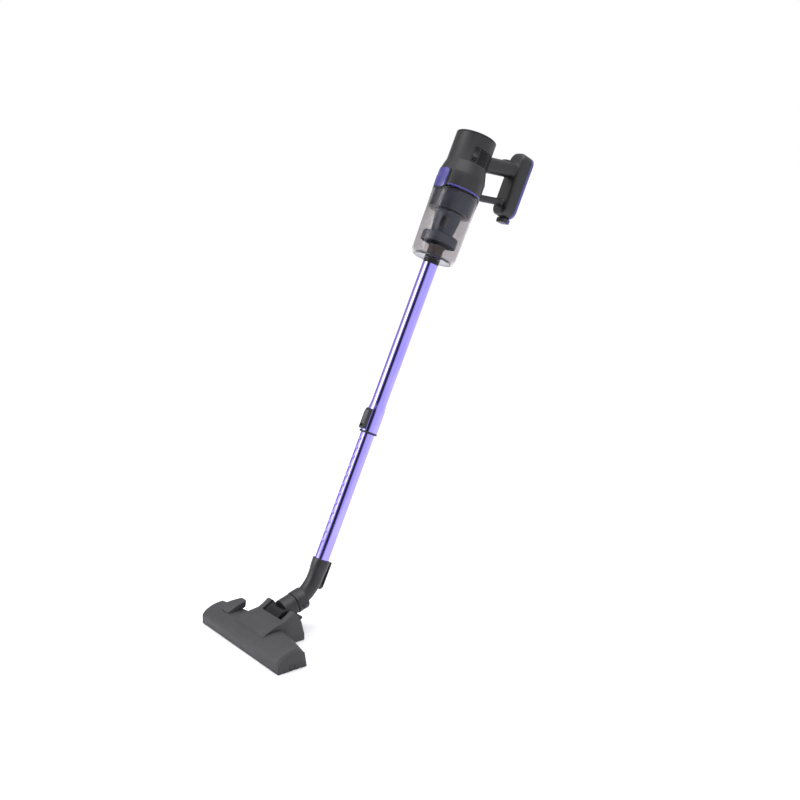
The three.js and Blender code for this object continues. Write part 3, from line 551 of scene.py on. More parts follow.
def exhaust_grille(name):
    """Curved plate on the +X side with short slots in rows, laid like bricks."""
    widths = [2.05] + [WEB, HALF_SLOT] * 24 + [WEB, 2.05]
    across = [sum(widths[:i]) for i in range(len(widths) + 1)]
    bars = [1.4]
    for _ in range(SLOT_ROWS - 1):
        bars += [SLOT_HEIGHT, SLOT_PITCH - SLOT_HEIGHT]
    bars += [SLOT_HEIGHT, 1.4]
    up = [VENT_LOW + 0.3 + sum(bars[:i]) for i in range(len(bars) + 1)]
    bpy.ops.object.select_all(action="DESELECT")
    bpy.ops.mesh.primitive_grid_add(x_subdivisions=len(across) - 1, y_subdivisions=len(up) - 1, size=2)
    plate = hold(name)
    columns = len(across)
    for index, vertex in enumerate(plate.data.vertices):
        vertex.co = (across[index % columns], up[index // columns], 0)
    rib_at = (VENT_RIB - VENT_FROM) * PLATE_R
    doomed = []
    for face in plate.data.polygons:
        x, z = face.center.x, face.center.y
        row = next(i for i in range(len(up) - 1) if up[i] <= z < up[i + 1])
        column = next(i for i in range(len(across) - 1) if across[i] <= x < across[i + 1])
        if row % 2 == 0 or not 1 < column < len(widths) - 2 or abs(x - rib_at) < 1.3:
            continue
        kept_web = 1 if (row // 2) % 2 else 3
        if column % 4 != kept_web:
            doomed.append(face.index)
    edit(plate)
    bpy.ops.mesh.select_all(action="DESELECT")
    bpy.ops.mesh.select_mode(type="FACE")
    shape = bmesh.from_edit_mesh(plate.data)
    shape.faces.ensure_lookup_table()
    for index in doomed:
        shape.faces[index].select = True
    bmesh.update_edit_mesh(plate.data)
    bpy.ops.mesh.delete(type="FACE")
    leave(outward=False)
    for vertex in plate.data.vertices:
        angle = VENT_FROM + vertex.co.x / PLATE_R
        vertex.co = Vector((PLATE_R * math.sin(angle), -PLATE_R * math.cos(angle), vertex.co.y)) * MM
    wall = plate.modifiers.new("wall", "SOLIDIFY")
    wall.thickness = 1.6 * MM
    wall.offset = 0
    apply(plate, wall)
    edit(plate)
    leave()
    rib = tube("rib", 0.01, 0.8, VENT_LOW + 0.6, VENT_HIGH - 0.6, 12)
    moved(rib, ((PLATE_R + 0.4) * math.sin(VENT_RIB), -(PLATE_R + 0.4) * math.cos(VENT_RIB), 0))
    return gathered(name, [plate, rib])


grille = exhaust_grille("exhaust_grille_right")
grille_twin = mirrored(grille, "exhaust_grille_left")
fit(grille, WAND, "hand_unit", "body_black", satin_abs_black, "vent_grille_right")
fit(grille_twin, WAND, "hand_unit", "body_black", satin_abs_black, "vent_grille_left")

fit(turned("accent_ring_band", [
    (50, 1015), (53.0, 1015), (53.6, 1015.4), (53.85, 1016.4), (53.85, 1017.7), (53.6, 1018.6), (53, 1019),
    (50, 1019)], 128),
    WAND, "hand_unit", "purple_plastic", polished_abs_purple, "accent_ring")

bezel = common(carried("button_surround", panel(18.6, 1019.3, BUTTON_HIGH + 2, 7), "y", -60, -30),
               tube("tray_wall", 49.4, 53.4, 1000, 1070))
carve(bezel, common(carried("pocket", panel(17.5, BUTTON_LOW, BUTTON_HIGH + 0.6, 6), "y", -70, -30),
                    tube("pocket_wall", 51, 60, 1000, 1070)))
surround = common(carried("rim", panel(19.3, BUTTON_LOW - 2.6, BUTTON_HIGH + 2.4, 8), "y", -60, -30),
                  tube("rim_wall", 54.15, 56.0, 1000, 1070))
carve(surround, carried("rim_pocket", panel(17.3, BUTTON_LOW - 0.4, BUTTON_HIGH + 0.5, 6.4), "y", -70, -20))
soften(surround, 0.5, 2)
bezel = gathered("button_surround", [bezel, surround])
fit(bezel, WAND, "hand_unit", "body_black", satin_abs_black, "button_bezel")

release = common(
    carried("cup_release_button", panel(16.9, BUTTON_LOW, BUTTON_HIGH, 7), "y", -62, -40),
    turned("button_curve", [(54.3, 995), (56.4, 995), (57.6, 1011), (57.9, 1031.2), (56.5, 1034.6), (57.1, 1048),
                            (56.8, 1055), (54.3, 1055)], 128))
soften(release, 1.1, 4, 35)
fit(release, WAND, "release_button", "purple_plastic", polished_abs_purple, "cup_button")


# ---------------------------------------------------------------- handle
PAD_LOW, PAD_HIGH, PAD_HALF, PAD_BACK = 1023, 1174, 23.5, 159


def pad_slab(name, back, front_steps, half=PAD_HALF, low=PAD_LOW, high=PAD_HIGH, corner=18):
    """A rounded slab, drawn forward from its back face, each step scaled to pull its outline in."""
    middle = (low + high) / 2
    steps, gone = [], 0.0
    for forward, pulled in front_steps:
        now = (half - pulled) / (half - gone), (high - middle - pulled) / (high - middle - gone)
        gone = pulled
        steps.append(((0, 0, -forward), now))
    return drawn_out(name, panel(half, low, high, corner, 10), "y", back, steps)


def arm(name, half_w, half_h, start, rise, length, corner, flare):
    """An arm of the handle with a rounded section, flaring where it meets the grip."""
    back, along = start
    shape = panel(half_w, along - half_h, along + half_h, corner, 6)
    flare_at = length - 12
    steps = [((0, rise * flare_at, flare_at), (1, 1))]
    before = 1.0
    for k in range(1, 7):
        t = k / 6
        grown = 1 + flare * (1 - math.sqrt(max(0.0, 1 - t * t)))
        steps.append(((0, rise * 2, 2), (grown / before, grown / before)))
        before = grown
    return drawn_out(name, shape, "y", back, steps)


BAY = panel(PAD_HALF - 2.2, PAD_LOW + 3.2, PAD_HIGH - 3.2, 12)
grip = pad_slab("handle", PAD_BACK, [(19.4, 0), (3, 0.3), (2, 1.0), (1.6, 2.0), (1.4, 3.6), (1.0, 5.6), (0.6, 8.5)])
upper_arm = arm("upper_arm", 15, 19, (42, 1103.8), 0.29, 90, 13, 0.24)
lower_arm = arm("lower_arm", 8.5, 8.2, (47, 1027.6), 0.283, 85, 6.5, 0.60)
grip = unite(grip, upper_arm, lower_arm)
carve(grip,
      turned("motor_clearance", [(0, 1000), (53.8, 1000), (53.8, 1051), (46.3, 1079), (46.3, 1200), (0, 1200)], 128),
      carried("battery_bay", BAY, "y", 138.5, 200),
      carried("latch_slot", [(-6, 1018), (6, 1018), (6, 1031), (-6, 1031)], "y", 146, 170),
      carried("button_slot", rounded([(-7, 96.4), (7, 96.4), (7, 117.6), (-7, 117.6)], 2, 4), "z", 1129.6, 1160))


def half_of(piece, name, side):
    """One moulded half of a piece, with the parting line at X = 0."""
    half = copied(piece, name)
    edit(half)
    bpy.ops.mesh.bisect(plane_co=(side * 0.12 * MM, 0, 0), plane_no=(side, 0, 0), use_fill=True, clear_inner=True)
    leave()
    return half


for side, name in ((1, "right"), (-1, "left")):
    half = half_of(grip, "handle_half_" + name, side)
    fit(half, WAND, "hand_unit", "body_black", satin_abs_black, "handle_shell_" + name)
bpy.data.objects.remove(grip)

power = carried("trigger_button", [(97, 1132), (117, 1132), (117, 1147), (97, 1141.4)], "x", -6.4, 6.4)
soften(power, 1.2, 3)
fit(power, WAND, "power_button", "body_black", satin_abs_black, "power_button")

# Purple back of the battery pack.
back_cover = pad_slab("battery_back", PAD_BACK + 0.3, [(-6.2, 0), (-1.0, 0.35), (-0.9, 1.1), (-0.6, 2.6)])
carve(back_cover, carried("case_room", BAY, "y", PAD_BACK - 1, 164.3))
fit(back_cover, WAND, "battery_pack", "purple_plastic", polished_abs_purple, "battery_cover")

TAB = panel(12.5, 1011, 1022.4, 2, 5)
tab = soften(carried("battery_release_tab", TAB, "y", 147, 158.8), 0.6, 2)
ribs = []
for i in range(6):
    at_x = -8.5 + i * 3.4
    rib = carried("tab_rib", [(at_x - 0.6, 1012.4), (at_x + 0.6, 1012.4), (at_x + 0.6, 1021.2), (at_x - 0.6, 1021.2)],
                  "y", 146.2, 148)
    ribs.append(soften(rib, 0.3, 2))
stem = carried("tab_stem", [(-5, 1021), (5, 1021), (5, 1029), (-5, 1029)], "y", 150, 155.5)
tab = gathered("battery_release_tab", [tab, stem] + ribs)
fit(tab, WAND, "battery_latch", "body_black", satin_abs_black, "battery_latch")
tab_back = soften(carried("release_tab_back", TAB, "y", 159.1, 166.6), 0.8, 3)
fit(tab_back, WAND, "battery_latch", "purple_plastic", polished_abs_purple)


# ---------------------------------------------------------------- dust cup
def arc_profile(r0, z0, r1, z1, steps=8):
    """A quarter curve in a turned profile, flat at the first point and upright at the last."""
    out = []
    for k in range(steps + 1):
        t = math.pi / 2 * k / steps
        out.append((r0 + (r1 - r0) * math.sin(t), z1 - (z1 - z0) * math.cos(t)))
    return out


shell = turned("clear_cup", [(42.2, 858.2), (43.0, 857.6)] + arc_profile(43.6, 857.7, 50.9, 872, 8) + [
    (52, 949), (52.8, 998), (53.4, 1002), (53.4, 1004.4), (52.9, 1004.9), (52.9, 1005.6), (53.4, 1006), (53.7, 1008),
    (53.8, 1009), (53.8, 1014.2), (53.5, 1014.4), (51.2, 1014.4), (51.2, 1006), (50.6, 998), (49.8, 949),
    (48.7, 872)] + [(47.6, 867.6), (45.4, 863.6), (42.2, 861)], 128)
fit(shell, WAND, "dust_cup", "smoke_clear", smoked_polycarbonate, "cup_shell")

base = turned("clear_cup_base", [
    (17.5, 857.6), (41.6, 857.6), (41.6, 860.2), (40, 860.2), (40, 863.6), (38, 863.6), (38, 860.2),
    (17.5, 860.2)], 128)
fit(base, WAND, "dust_cup", "smoke_clear", smoked_base, "cup_floor")
fit(tube("base_seal", 40.5, 41.6, 860.5, 861.8, 128, 0.3), WAND, "dust_cup", "seal_rubber", silicone_seal, "floor_seal")
fit(tube("top_seal", 48.9, 50.9, 1010.4, 1013.8, 128, 0.5), WAND, "dust_cup", "seal_rubber", nitrile_rubber, "rim_seal")

fit(turned("inlet_pipe", [
    (15.4, 857.2), (17.2, 857.2), (17.2, 882), (17.8, 884.5), (20.2, 888), (18.6, 889), (16.4, 886), (15.4, 883)], 96),
    WAND, "dust_cup", "duct_tinted", amber_polycarbonate, "inlet_duct")
fit(turned("inlet_ring", [
    (15.4, 851.3), (17.2, 851.3), (17.9, 851.9), (18, 852.4), (18, 853.6), (17.5, 853.9), (17.5, 854.6), (18, 855),
    (18, 856.6), (17.7, 856.9), (15.4, 856.9)], 96), WAND, "dust_cup", "cyclone_black", satin_abs_black, "inlet_collar")

fit(turned("cyclone_skirt", [
    (0, 911), (24, 911), (36, 910), (38.4, 907.4), (38.6, 893), (40.2, 893), (40.5, 893.5), (40.5, 911), (40.2, 912.6),
    (39, 914), (36, 915), (0, 915)], 128), WAND, "dust_cup", "cyclone_black", smoked_styrene, "cyclone_dish")
cone = turned("cyclone_body", [
    (23.5, 915.4), (25.3, 915.4), (25.5, 916), (25.5, 921), (26.6, 930), (30, 958), (31.5, 961.4), (36, 965.4),
    (34.6, 966.6), (29.5, 962), (28, 959), (23.5, 921.6)], 128)
for i in range(4):
    window = carried("cone_window", panel(8, 928, 951, 3, 4), "y", 10, 44)
    carve(cone, moved(window, turn=(0, 0, math.radians(45 + i * 90))))
fit(cone, WAND, "dust_cup", "cyclone_black", smoked_styrene, "cyclone_cone")
fit(turned("perforated_cone", [
    (21.3, 916), (22.9, 916), (22.9, 921.8), (27.3, 958.6), (25.7, 958.6), (21.3, 921.8)], 96),
    WAND, "dust_cup", "steel_mesh", perforated_steel, "cone_mesh")
fit(turned("filter_carrier", [
    (36.6, 967), (46.4, 967), (47.6, 967.4), (48.4, 969), (48.4, 1007), (50.8, 1009), (50.8, 1010.1), (48.6, 1010.1),
    (46.4, 1007), (46.4, 969.2), (36.6, 969.2)], 128),
    WAND, "dust_cup", "cyclone_black", smoked_styrene, "filter_frame")


# ---------------------------------------------------------------- wand
def swell(r0, z0, r1, z1, steps=10):
    """A smooth change of radius in a turned profile."""
    return [(r0 + (r1 - r0) * (1 - math.cos(math.pi * k / steps)) / 2, z0 + (z1 - z0) * k / steps)
            for k in range(steps + 1)]


upper = turned("outer_tube", [(18.6, 454.7), (19.3, 454.7), (19.6, 455.0)] + swell(19.6, 499, 17.5, 524) + [
    (17.5, 846.8), (17.3, 847), (16.5, 847), (16.5, 524)] + swell(18.6, 499, 16.5, 524)[::-1][1:], 128)
NOTCH_FIRST, NOTCH_PITCH, NOTCH_COUNT = 201, 21.3, 14
PIN_AT = NOTCH_FIRST + (NOTCH_COUNT - 1) * NOTCH_PITCH
PIN_ROOM = [(-4, PIN_AT - 2.4), (4, PIN_AT - 2.4), (4, PIN_AT + 2.4), (-4, PIN_AT + 2.4)]
carve(upper, carried("pin_cutter", PIN_ROOM, "y", -30, -10))
fit(upper, WAND, "wand", "violet_tube", anodised_violet, "upper_tube")

lower = tube("inner_tube_metal", 14.6, 16, 137, 531, 128, 0.2)
notches = []
for i in range(NOTCH_COUNT):
    z = NOTCH_FIRST + i * NOTCH_PITCH
    notch = carried("notch", panel(5, z - 2.3, z + 2.3, 1.8, 4), "y", -20, -14.85)
    notches.append(notch)
carve(lower, gathered("notch_cutters", notches))
soften(lower, 0.25, 2, 40)
fit(lower, WAND, "inner_tube", "violet_tube", anodised_violet, "lower_tube")

fit(turned("tube_mouth_ring", [
    (16.4, 450.6), (19.4, 450.6), (19.9, 451.0), (20.1, 451.6), (20.1, 453.9), (19.8, 454.4), (16.4, 454.4)], 96),
    WAND, "wand", "body_black", satin_abs_black, "tube_end_ring")
fit(turned("wand_spigot", [
    (12.8, 822), (16.2, 822), (16.2, 847.3), (17.1, 847.3), (17.4, 847.7), (17.4, 850.5), (17.1, 851), (15.1, 851),
    (14.9, 879), (14.5, 880), (12.8, 880)], 96), WAND, "wand", "body_black", satin_abs_black, "wand_connector")

# Latch housing: its top slopes down to the tube, and the thumb pad sits in its pocket.
latch = carried("latch_housing", rounded(
    [(-12, 457), (-24.6, 457), (-24.8, 494), (-21.8, 504.5), (-12, 504.5)], [0, 1.2, 5, 3, 0], 5), "x", -8.8, 8.8)
soften(latch, 1.3, 3, 40)
carve(latch, turned("tube_clearance", [(0, 440), (19.75, 440), (19.75, 520), (0, 520)], 96),
      carried("pad_pocket", panel(5.9, 462, 499, 2.4, 4), "y", -30, -21.6),
      carried("pin_hole", PIN_ROOM, "y", -30, -10))
fit(latch, WAND, "wand", "body_black", satin_abs_black, "latch_frame")
thumb = soften(carried("thumb_pad", panel(5.5, 467.4, 498.4, 2.2, 4), "y", -25.4, -22), 0.5, 2)
thumb_ribs = [soften(carried("thumb_rib", panel(4.6, z, z + 1.5, 0.5, 2), "y", -26.3, -25), 0.3, 2)
              for z in (471, 474.4, 477.8, 481.2, 484.6, 488, 491.4, 494.8)]
fit(gathered("thumb_pad", [thumb] + thumb_ribs), WAND, "latch_slider", "grey_plastic", satin_abs_grey, "latch_slider")


# ---------------------------------------------------------------- elbow
BEND = math.pi / 2 - LEAN - NECK_RISE
BEND_R, BEND_START, ELBOW_R = 93.0, 125.0, 17.5


def ring_select(piece, middle, axis, reach):
    """Selects the ring of vertices round a point and square to an axis, in edit mode."""
    bpy.ops.mesh.select_all(action="DESELECT")
    shape = bmesh.from_edit_mesh(piece.data)
    for vertex in shape.verts:
        away = vertex.co - middle
        vertex.select = abs(away.dot(axis)) < 1e-5 and away.length < reach
    shape.select_flush_mode()
    bmesh.update_edit_mesh(piece.data)


def elbow_run(name, radius, top_steps, tail):
    """A pipe through the bend. top_steps carries its upper end on by (rise, new radius), and tail its lower end."""
    ring = [(radius * math.cos(TURN * i / 96), radius * math.sin(TURN * i / 96), BEND_START) for i in range(96)]
    piece = outline(name, ring)
    edit(piece)
    bpy.ops.mesh.spin(steps=36, angle=BEND, center=(0, -BEND_R * MM, BEND_START * MM), axis=(1, 0, 0))
    bpy.ops.mesh.select_all(action="SELECT")
    bpy.ops.mesh.remove_doubles(threshold=1e-6)
    bottom = Vector((0, -BEND_R * (1 - math.cos(BEND)), BEND_START - BEND_R * math.sin(BEND))) * MM
    down = Vector((0, -math.sin(BEND), -math.cos(BEND)))
    ring_select(piece, bottom, down, radius * MM * 1.001)
    bpy.ops.mesh.extrude_edges_move(TRANSFORM_OT_translate={"value": down * tail * MM})
    height, now = BEND_START, radius
    for rise, wide in top_steps:
        ring_select(piece, Vector((0, 0, height * MM)), Vector((0, 0, 1)), now * MM * 1.001)
        bpy.ops.mesh.extrude_edges_move(TRANSFORM_OT_translate={"value": Vector((0, 0, rise)) * MM})
        height += rise
        bpy.ops.transform.resize(value=(wide / now, wide / now, 1), center_override=(0, 0, height * MM))
        now = wide
    return piece


# The cuff swells, rounds over its lip, and runs down inside to the step that the inner tube stands on.
cuff_steps = [(3, 17.52), (3, 17.65), (3, 17.9), (3, 18.3), (3, 18.7), (3, 19.0), (3, 19.2), (4, 19.3), (11, 19.5),
              (0.5, 19.3), (0.4, 18.9), (0.1, 18.4), (0, 16.4), (-25.5, 16.4), (0, 14.8), (-10, 14.8)]
elbow = elbow_run("elbow_skin", ELBOW_R, cuff_steps, 13)
leave()
fit(elbow, WAND, "elbow", "neck_black", polypropylene_neck, "elbow_pipe", smooth=40)

clip = carried("parking_hook", rounded(
    [(15, 99), (22, 98), (27, 104), (27.4, 160), (24.6, 161), (24, 109), (20, 106), (15, 108)],
    [0, 2, 4, 1.2, 1.2, 2, 2, 0], 4), "x", -5, 5)
soften(clip, 0.7, 2, 40)
fit(clip, WAND, "elbow", "neck_black", polypropylene_neck, "parking_clip")

# ---------------------------------------------------------------- swivel collar and knuckle
collar = turned("swivel_ring", [
    (17.9, 0.3), (23.0, 0.3), (23.7, 0.7), (24, 1.4), (24, 5.8), (23.7, 6.2), (23.7, 6.8), (24, 7.2), (24, 23.8),
    (23.7, 25.2), (22.8, 26.3), (21.2, 27), (18.6, 27)], 128)
carve(collar, on_x(turned("pin_bore", [(0, -29), (7, -29), (7, 29), (0, 29)], 48), 4.7, 14))
fit(collar, NECK, "elbow", "neck_black", polypropylene_neck, "swivel_collar")

pin_cap = turned("swivel_pin_cap", [
    (0, 22.0), (6.6, 22.0), (6.7, 23.0), (6.5, 23.6), (5.6, 23.9), (5.2, 23.6), (4.8, 23.6), (4.4, 24.1), (3.6, 24.7),
    (0, 25.1)], 64)
fit(moved(pin_cap, (0, 4.7, 14), (0, math.pi / 2, 0)), NECK, "elbow", "neck_black", polypropylene_neck, "collar_pin")

BARREL_HALF, HUB_HALF, RIB_COUNT, RIB_WIDE = 25, 36, 13, 2.1


def ribbed_barrel(name):
    """The knuckle's barrel about X, with grip ribs round it and a plain hub at each end."""
    profile = [(0, -HUB_HALF), (13.4, -HUB_HALF), (14, -HUB_HALF + 0.6), (14, -BARREL_HALF)]
    pitch = (2 * BARREL_HALF - RIB_WIDE) / (RIB_COUNT - 1)
    for i in range(RIB_COUNT):
        x = -BARREL_HALF + i * pitch
        if i:
            profile += [(22.8, x - pitch + RIB_WIDE + 0.1), (22.8, x - 0.1)]
        profile += [(24.0, x), (24.4, x + 0.4), (24.4, x + RIB_WIDE - 0.4), (24.0, x + RIB_WIDE)]
    profile += [(14, BARREL_HALF), (14, HUB_HALF - 0.6), (13.4, HUB_HALF), (0, HUB_HALF)]
    return turned(name, profile, 96)


barrel = on_x(ribbed_barrel("knuckle"), 53, 40)
keel_side = rounded([(62, 22), (92, 28), (98, 36), (93, 39), (88, 42), (60, 46)], [0, 3, 3, 1, 2, 0], 4)
keel = carried("keel", keel_side, "x", -18.6, 18.6)
soften(keel, 1.0, 2, 40)
knuckle = unite(barrel, keel)
BAR_SLOPE, BAR_LONG = math.radians(33), 26
KEEL_ROOM = [(63, 23.2), (91, 28.8), (96.6, 35.6), (92.5, 38), (87.5, 41), (63, 45)]
for side in (1, -1):
    bars = []
    for k in range(6):
        y0, z0 = 63 + k * 6.4, 20.0
        y1, z1 = y0 + BAR_LONG * math.cos(BAR_SLOPE), z0 + BAR_LONG * math.sin(BAR_SLOPE)
        bar_side = [(y0, z0), (y1, z1), (y1 - 1.1, z1 + 1.6), (y0 - 1.1, z0 + 1.6)]
        bars.append(carried("bar", bar_side, "x", *sorted((side * 17.5, side * 20))))
    knuckle = unite(knuckle, common(gathered("keel_bars", bars), carried("keel_room", KEEL_ROOM, "x", -30, 30)))
to_neck = Matrix.LocRotScale(Vector(SWIVEL) * MM, Matrix.Rotation(NECK[1][0], 3, "X"), Vector((1, 1, 1))).inverted()
knuckle.matrix_world = to_neck
only(knuckle)
bpy.ops.object.transform_apply(location=True, rotation=True, scale=True)
sleeve = turned("sleeve", [
    (0, -30), (22.5, -30), (22.5, -8.6), (22.2, -8.2), (22.2, -7.4), (22.5, -7), (22.5, -1), (22.1, -0.3),
    (0, -0.3)], 96)
knuckle = unite(knuckle, sleeve)
carve(knuckle, turned("journal_room", [(0, -14.5), (17.9, -14.5), (17.9, 4), (0, 4)], 96))
fit(knuckle, NECK, "neck", "neck_black", polypropylene_neck, "neck_knuckle")


# ---------------------------------------------------------------- floor head
def head_outline(inset=0.0, low=0.6):
    """Side outline of the head in (y, z): upright front lip, long curved brow, sloped back."""
    i = inset
    front = (-50 + i, 17)
    brow = bezier(front, (-50 + i, 27 - i * 0.6), (-28, 39.5 - i), (0, 39.6 - i), 18)
    return [(-50 + i, low), front] + brow + [(1.4, 39.3 - i), (14 - i * 0.9, 31.2 - i * 0.5), (18 - i, low)]


def head_body(name, inset, low, half, shoulder):
    """The head's body: its outline carried right across, then pushed out at the back beside the horns."""
    piece = carried(name, head_outline(inset, low), "x", -half, half)
    edit(piece)
    for x in (shoulder - 0.3, shoulder):
        for side in (1, -1):
            bpy.ops.mesh.select_all(action="SELECT")
            bpy.ops.mesh.bisect(plane_co=(side * x * MM, 0, 0), plane_no=(1, 0, 0))
    leave()
    for vertex in piece.data.vertices:
        if abs(abs(vertex.co.x) - shoulder * MM) < 0.05 * MM and vertex.co.y > 1 * MM:
            vertex.co.y += BULGE * MM
    return piece


SHELL_HALF = 148.7
HORN_IN, HORN_OUT = 37, 52
SHOULDER, BULGE = HORN_OUT + 0.3, 20
PEDAL_LEFT, PEDAL_RIGHT, PEDAL_FRONT = -121, -86, -22

head = head_body("head_shell_moulding", 0, 0.6, SHELL_HALF, SHOULDER)
pedal_hole = carried("pedal_hole", rounded(
    [(PEDAL_LEFT - 0.9, PEDAL_FRONT - 1.2), (PEDAL_RIGHT + 0.9, PEDAL_FRONT - 1.2), (PEDAL_RIGHT + 0.9, 17.5),
     (PEDAL_LEFT - 0.9, 17.5)], [13, 13, 3, 3], 8), "z", 22, 60)
carve(head, head_body("head_hollow", 2.4, -2, SHELL_HALF - 2.2, SHOULDER + 2.2),
      carried("duct_port", [(-18, -8), (18, -8), (18, 30), (-18, 30)], "z", 18, 60), pedal_hole)
soften(head, 0.5, 2, 50)
fit(head, HEAD, "head", "head_charcoal", matte_abs_charcoal, "head_shell", smooth=25)

end_cap = carried("end_cap_right_moulding", head_outline(0, 0.2), "x", 149, 155)
soften(end_cap, 0.9, 3, 45)
scallops = [on_x(turned("scallop", [(0, 140), (5.4, 140), (5.4, 160), (0, 160)], 40), y, -3)
            for y in (-40, -26, -12, 2)]
carve(end_cap, gathered("scallops", scallops),
      carried("clip_recess", rounded([(-25, 3.6), (-9, 3.6), (-10, 13), (-24, 13)], 1.5, 4), "x", 154, 160))
tongue_side = rounded([(-23.4, 4), (-10.6, 4), (-11.4, 11.4), (-22.6, 11.4)], 1.5, 4)
tongue = soften(carried("clip_tongue", tongue_side, "x", 152, 154.8), 0.4, 2)
end_cap = gathered("end_cap_right_moulding", [end_cap, tongue])
cap_twin = mirrored(end_cap, "end_cap_left_moulding")
# The end caps wear the darker copy of the head ABS, as painted shade.
fit(end_cap, HEAD, "head", "head_charcoal", matte_abs_painted_shade, "end_cap_right")
fit(cap_twin, HEAD, "head", "head_charcoal", matte_abs_painted_shade, "end_cap_left")

# Saddle over the air duct, running back into the two horns.
saddle_side = rounded(
    [(-27, 24), (-25, 36.6), (-12, 43.5), (12, 50.5), (31, 53), (45, 60.5), (53, 66), (58, 67), (66, 57.5), (73.5, 43),
     (80, 12), (80, 1), (58, 1), (38, 4), (24, 16), (10, 16)],
    [0, 0.8, 0.8, 10, 12, 10, 5, 4, 6, 12, 2, 2, 2, 4, 4, 2], 6)
right_edge = [(57.4, -29)] + bezier((57.4, -29), (56.5, -6), (52.5, 6), (HORN_OUT, 28), 12) + [(HORN_OUT, 84)]
saddle_plan = right_edge + [(-x, y) for x, y in right_edge[::-1]]
saddle = common(carried("saddle_moulding", saddle_side, "x", -60, 60), carried("saddle_plan", saddle_plan, "z", 0, 90))
soften(saddle, 1.8, 4, 40)
carve(saddle, carried("barrel_notch", [(41, -1), (96, -1), (96, 96), (41, 96)], "x", -HORN_IN, HORN_IN),
      on_x(turned("barrel_room", [(0, -HORN_IN), (25.2, -HORN_IN), (25.2, HORN_IN), (0, HORN_IN)], 128), 53, 40),
      head_body("head_room", -0.4, -1, SHELL_HALF, SHOULDER - 0.3),
      *[carried("wheel_well", rounded([(55, -1), (84.5, -1), (84.5, 27), (55, 27)], [0, 0, 8, 12], 8),
                "x", *sorted((s * 39, s * 50))) for s in (1, -1)])
fit(saddle, HEAD, "head", "head_charcoal", matte_abs_charcoal, "saddle_cover", smooth=28)

# Foot pedal: a domed tongue that rises to a heel and falls away to its outer side.
pedal_side = [(-22, 32), (-22, 36)] + bezier((-22, 36), (-20, 43), (-9, 49), (4, 52.4), 10) + bezier(
    (4, 52.4), (11, 54.4), (16, 57), (22.5, 57), 8) + [
    (22.9, 56.2), (22, 50), (18.9, 43.7), (12, 41), (8, 34.5), (0, 28)]
pedal_plan = rounded([(PEDAL_LEFT, -22.6), (PEDAL_RIGHT, -22.6), (PEDAL_RIGHT, 23.2), (PEDAL_LEFT, 23.2)],
                     [14, 14, 6, 14], 10)
pedal_front = [(-124, 20), (-83, 20), (-83, 57.3)] + bezier((-83, 57.3), (-98, 58.6), (-114, 56), (-122, 49), 10)
pedal_front += [(-124, 48)]
pedal = common(carried("foot_pedal", pedal_side, "x", -124, -83), carried("pedal_plan", pedal_plan, "z", 20, 60))
pedal = common(pedal, carried("pedal_front", pedal_front, "y", -30, 30))
soften(pedal, 1.6, 4, 40)
pin_room = turned("pin_room", [(0, -20), (2.2, -20), (2.2, 20), (0, 20)], 32)
carve(pedal, moved(pin_room, (-103.5, -4, 34.5), (0, math.pi / 2, 0)))
fit(pedal, HEAD, "pedal", "head_charcoal", matte_abs_charcoal, "brush_pedal", smooth=28)

# Wheels: tyre with three grooves, a dished hub and stub axles.
tread = [(12, 40.8)]
for groove in (42.5, 44.5, 46.5):
    tread += [(12, groove - 0.3), (11.5, groove), (12, groove + 0.3)]
wheel = on_x(turned("wheel_right_tyre", [
    (0, 37.6), (1.8, 37.6), (1.8, 40.2), (5, 40.2), (5.6, 40.8), (8.8, 40.8), (9.4, 40), (11.4, 40)] + tread + [
    (12, 48.2), (11.4, 49), (9.4, 49), (8.8, 48.2), (5.6, 48.2), (5, 48.8), (1.8, 48.8), (1.8, 50.6),
    (0, 50.6)], 48), 70, 12)
wheel_twin = mirrored(wheel, "wheel_left_tyre")
fit(wheel, HEAD, "wheel_right", "wheel_rubber", nitrile_rubber, "wheel_right")
fit(wheel_twin, HEAD, "wheel_left", "wheel_rubber", nitrile_rubber, "wheel_left")


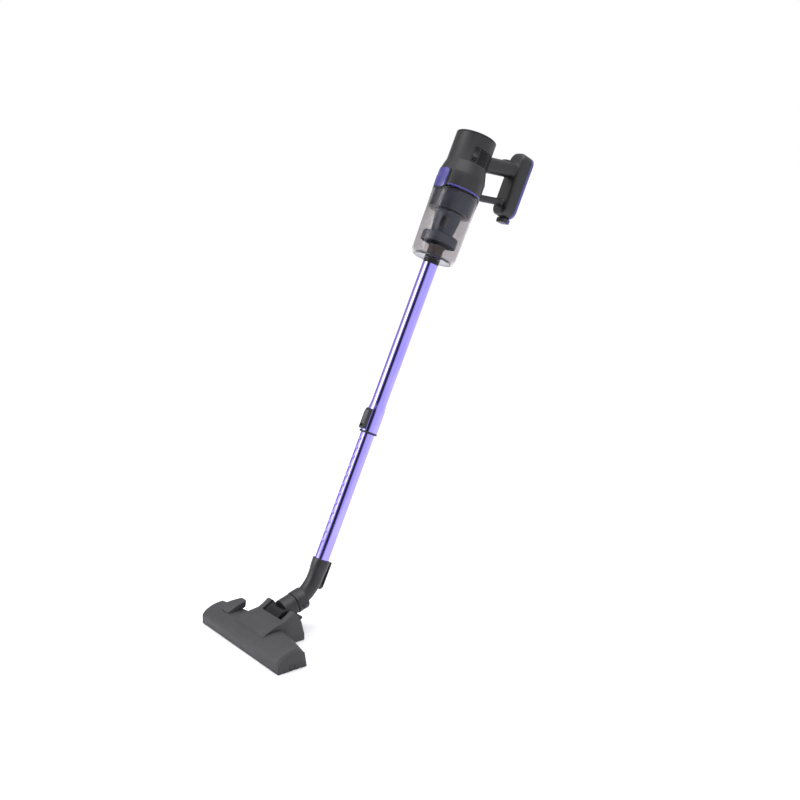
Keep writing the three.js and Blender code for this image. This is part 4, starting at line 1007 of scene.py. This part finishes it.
def bristle_row(name, y):
    """Rows of tapered tufts standing in a strip."""
    bpy.ops.object.select_all(action="DESELECT")
    bpy.ops.mesh.primitive_cone_add(vertices=6, radius1=0.55 * MM, radius2=0.95 * MM, depth=6.5 * MM,
                                    location=(-131 * MM, (y - 0.7) * MM, 3.85 * MM))
    tuft = hold(name)
    bpy.ops.object.transform_apply(location=True, rotation=True, scale=True)
    for label, number, offset in (("row", 115, (2.28, 0, 0)), ("twin", 2, (1.14, 1.4, 0))):
        array = tuft.modifiers.new(label, "ARRAY")
        array.use_relative_offset = False
        array.use_constant_offset = True
        array.constant_offset_displace = Vector(offset) * MM
        array.count = number
        apply(tuft, array)
    return tuft


for name, node, y in (("bristles_front", "bristle_strip_front", -41), ("bristles_rear", "bristle_strip_rear", -9.5)):
    fit(bristle_row(name, y), HEAD, "brushes", "bristle_fibre", nylon_bristle, node)

# ---------------------------------------------------------------- frame nodes that stay
KEPT = {
    "motor_can": zinc_plated_can, "motor_mount": nitrile_rubber, "impeller": satin_abs_grey,
    "fan_shroud": satin_abs_grey,
    "control_board": solder_mask_green, "battery_case": satin_abs_black, "battery_cell_1": shrink_wrap_blue,
    "battery_cell_2": shrink_wrap_blue, "battery_cell_3": shrink_wrap_blue, "battery_cell_4": shrink_wrap_blue,
    "pleated_filter": filter_paper, "tube_guide": satin_abs_grey, "latch_pin": bright_steel, "pedal_pin": bright_steel,
    # The sole plate wears the darker copy of the head ABS too, as painted shade.
    "pivot_pin_right": bright_steel, "pivot_pin_left": bright_steel, "sole_plate": matte_abs_painted_shade,
    "brush_carriage": satin_abs_grey,
}
for node_name, material in KEPT.items():
    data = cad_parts[node_name].data
    data.materials.clear()
    data.materials.append(material)

bpy.ops.object.select_all(action="DESELECT")
bpy.ops.mesh.primitive_plane_add(size=60, location=(0, 0, -0.0002))
floor = hold("studio_floor")
# Studio floor: pale seamless paper.
floor_paper, floor_tree = blank("seamless_paper")
floor_place = add(floor_tree, "TexCoord").outputs["Object"]
paper_noise = add(floor_tree, "TexNoise", {"Vector": floor_place}, Scale=180.0, Detail=3.0)
paper_tone = ramp(floor_tree, paper_noise.outputs["Fac"], (0.3, "#f3f3f5"), (0.7, "#f7f7f9"))
close(floor_tree, add(floor_tree, "BsdfPrincipled", {"Base Color": paper_tone.outputs[0]}, Roughness=0.9))
floor.data.materials.append(floor_paper)
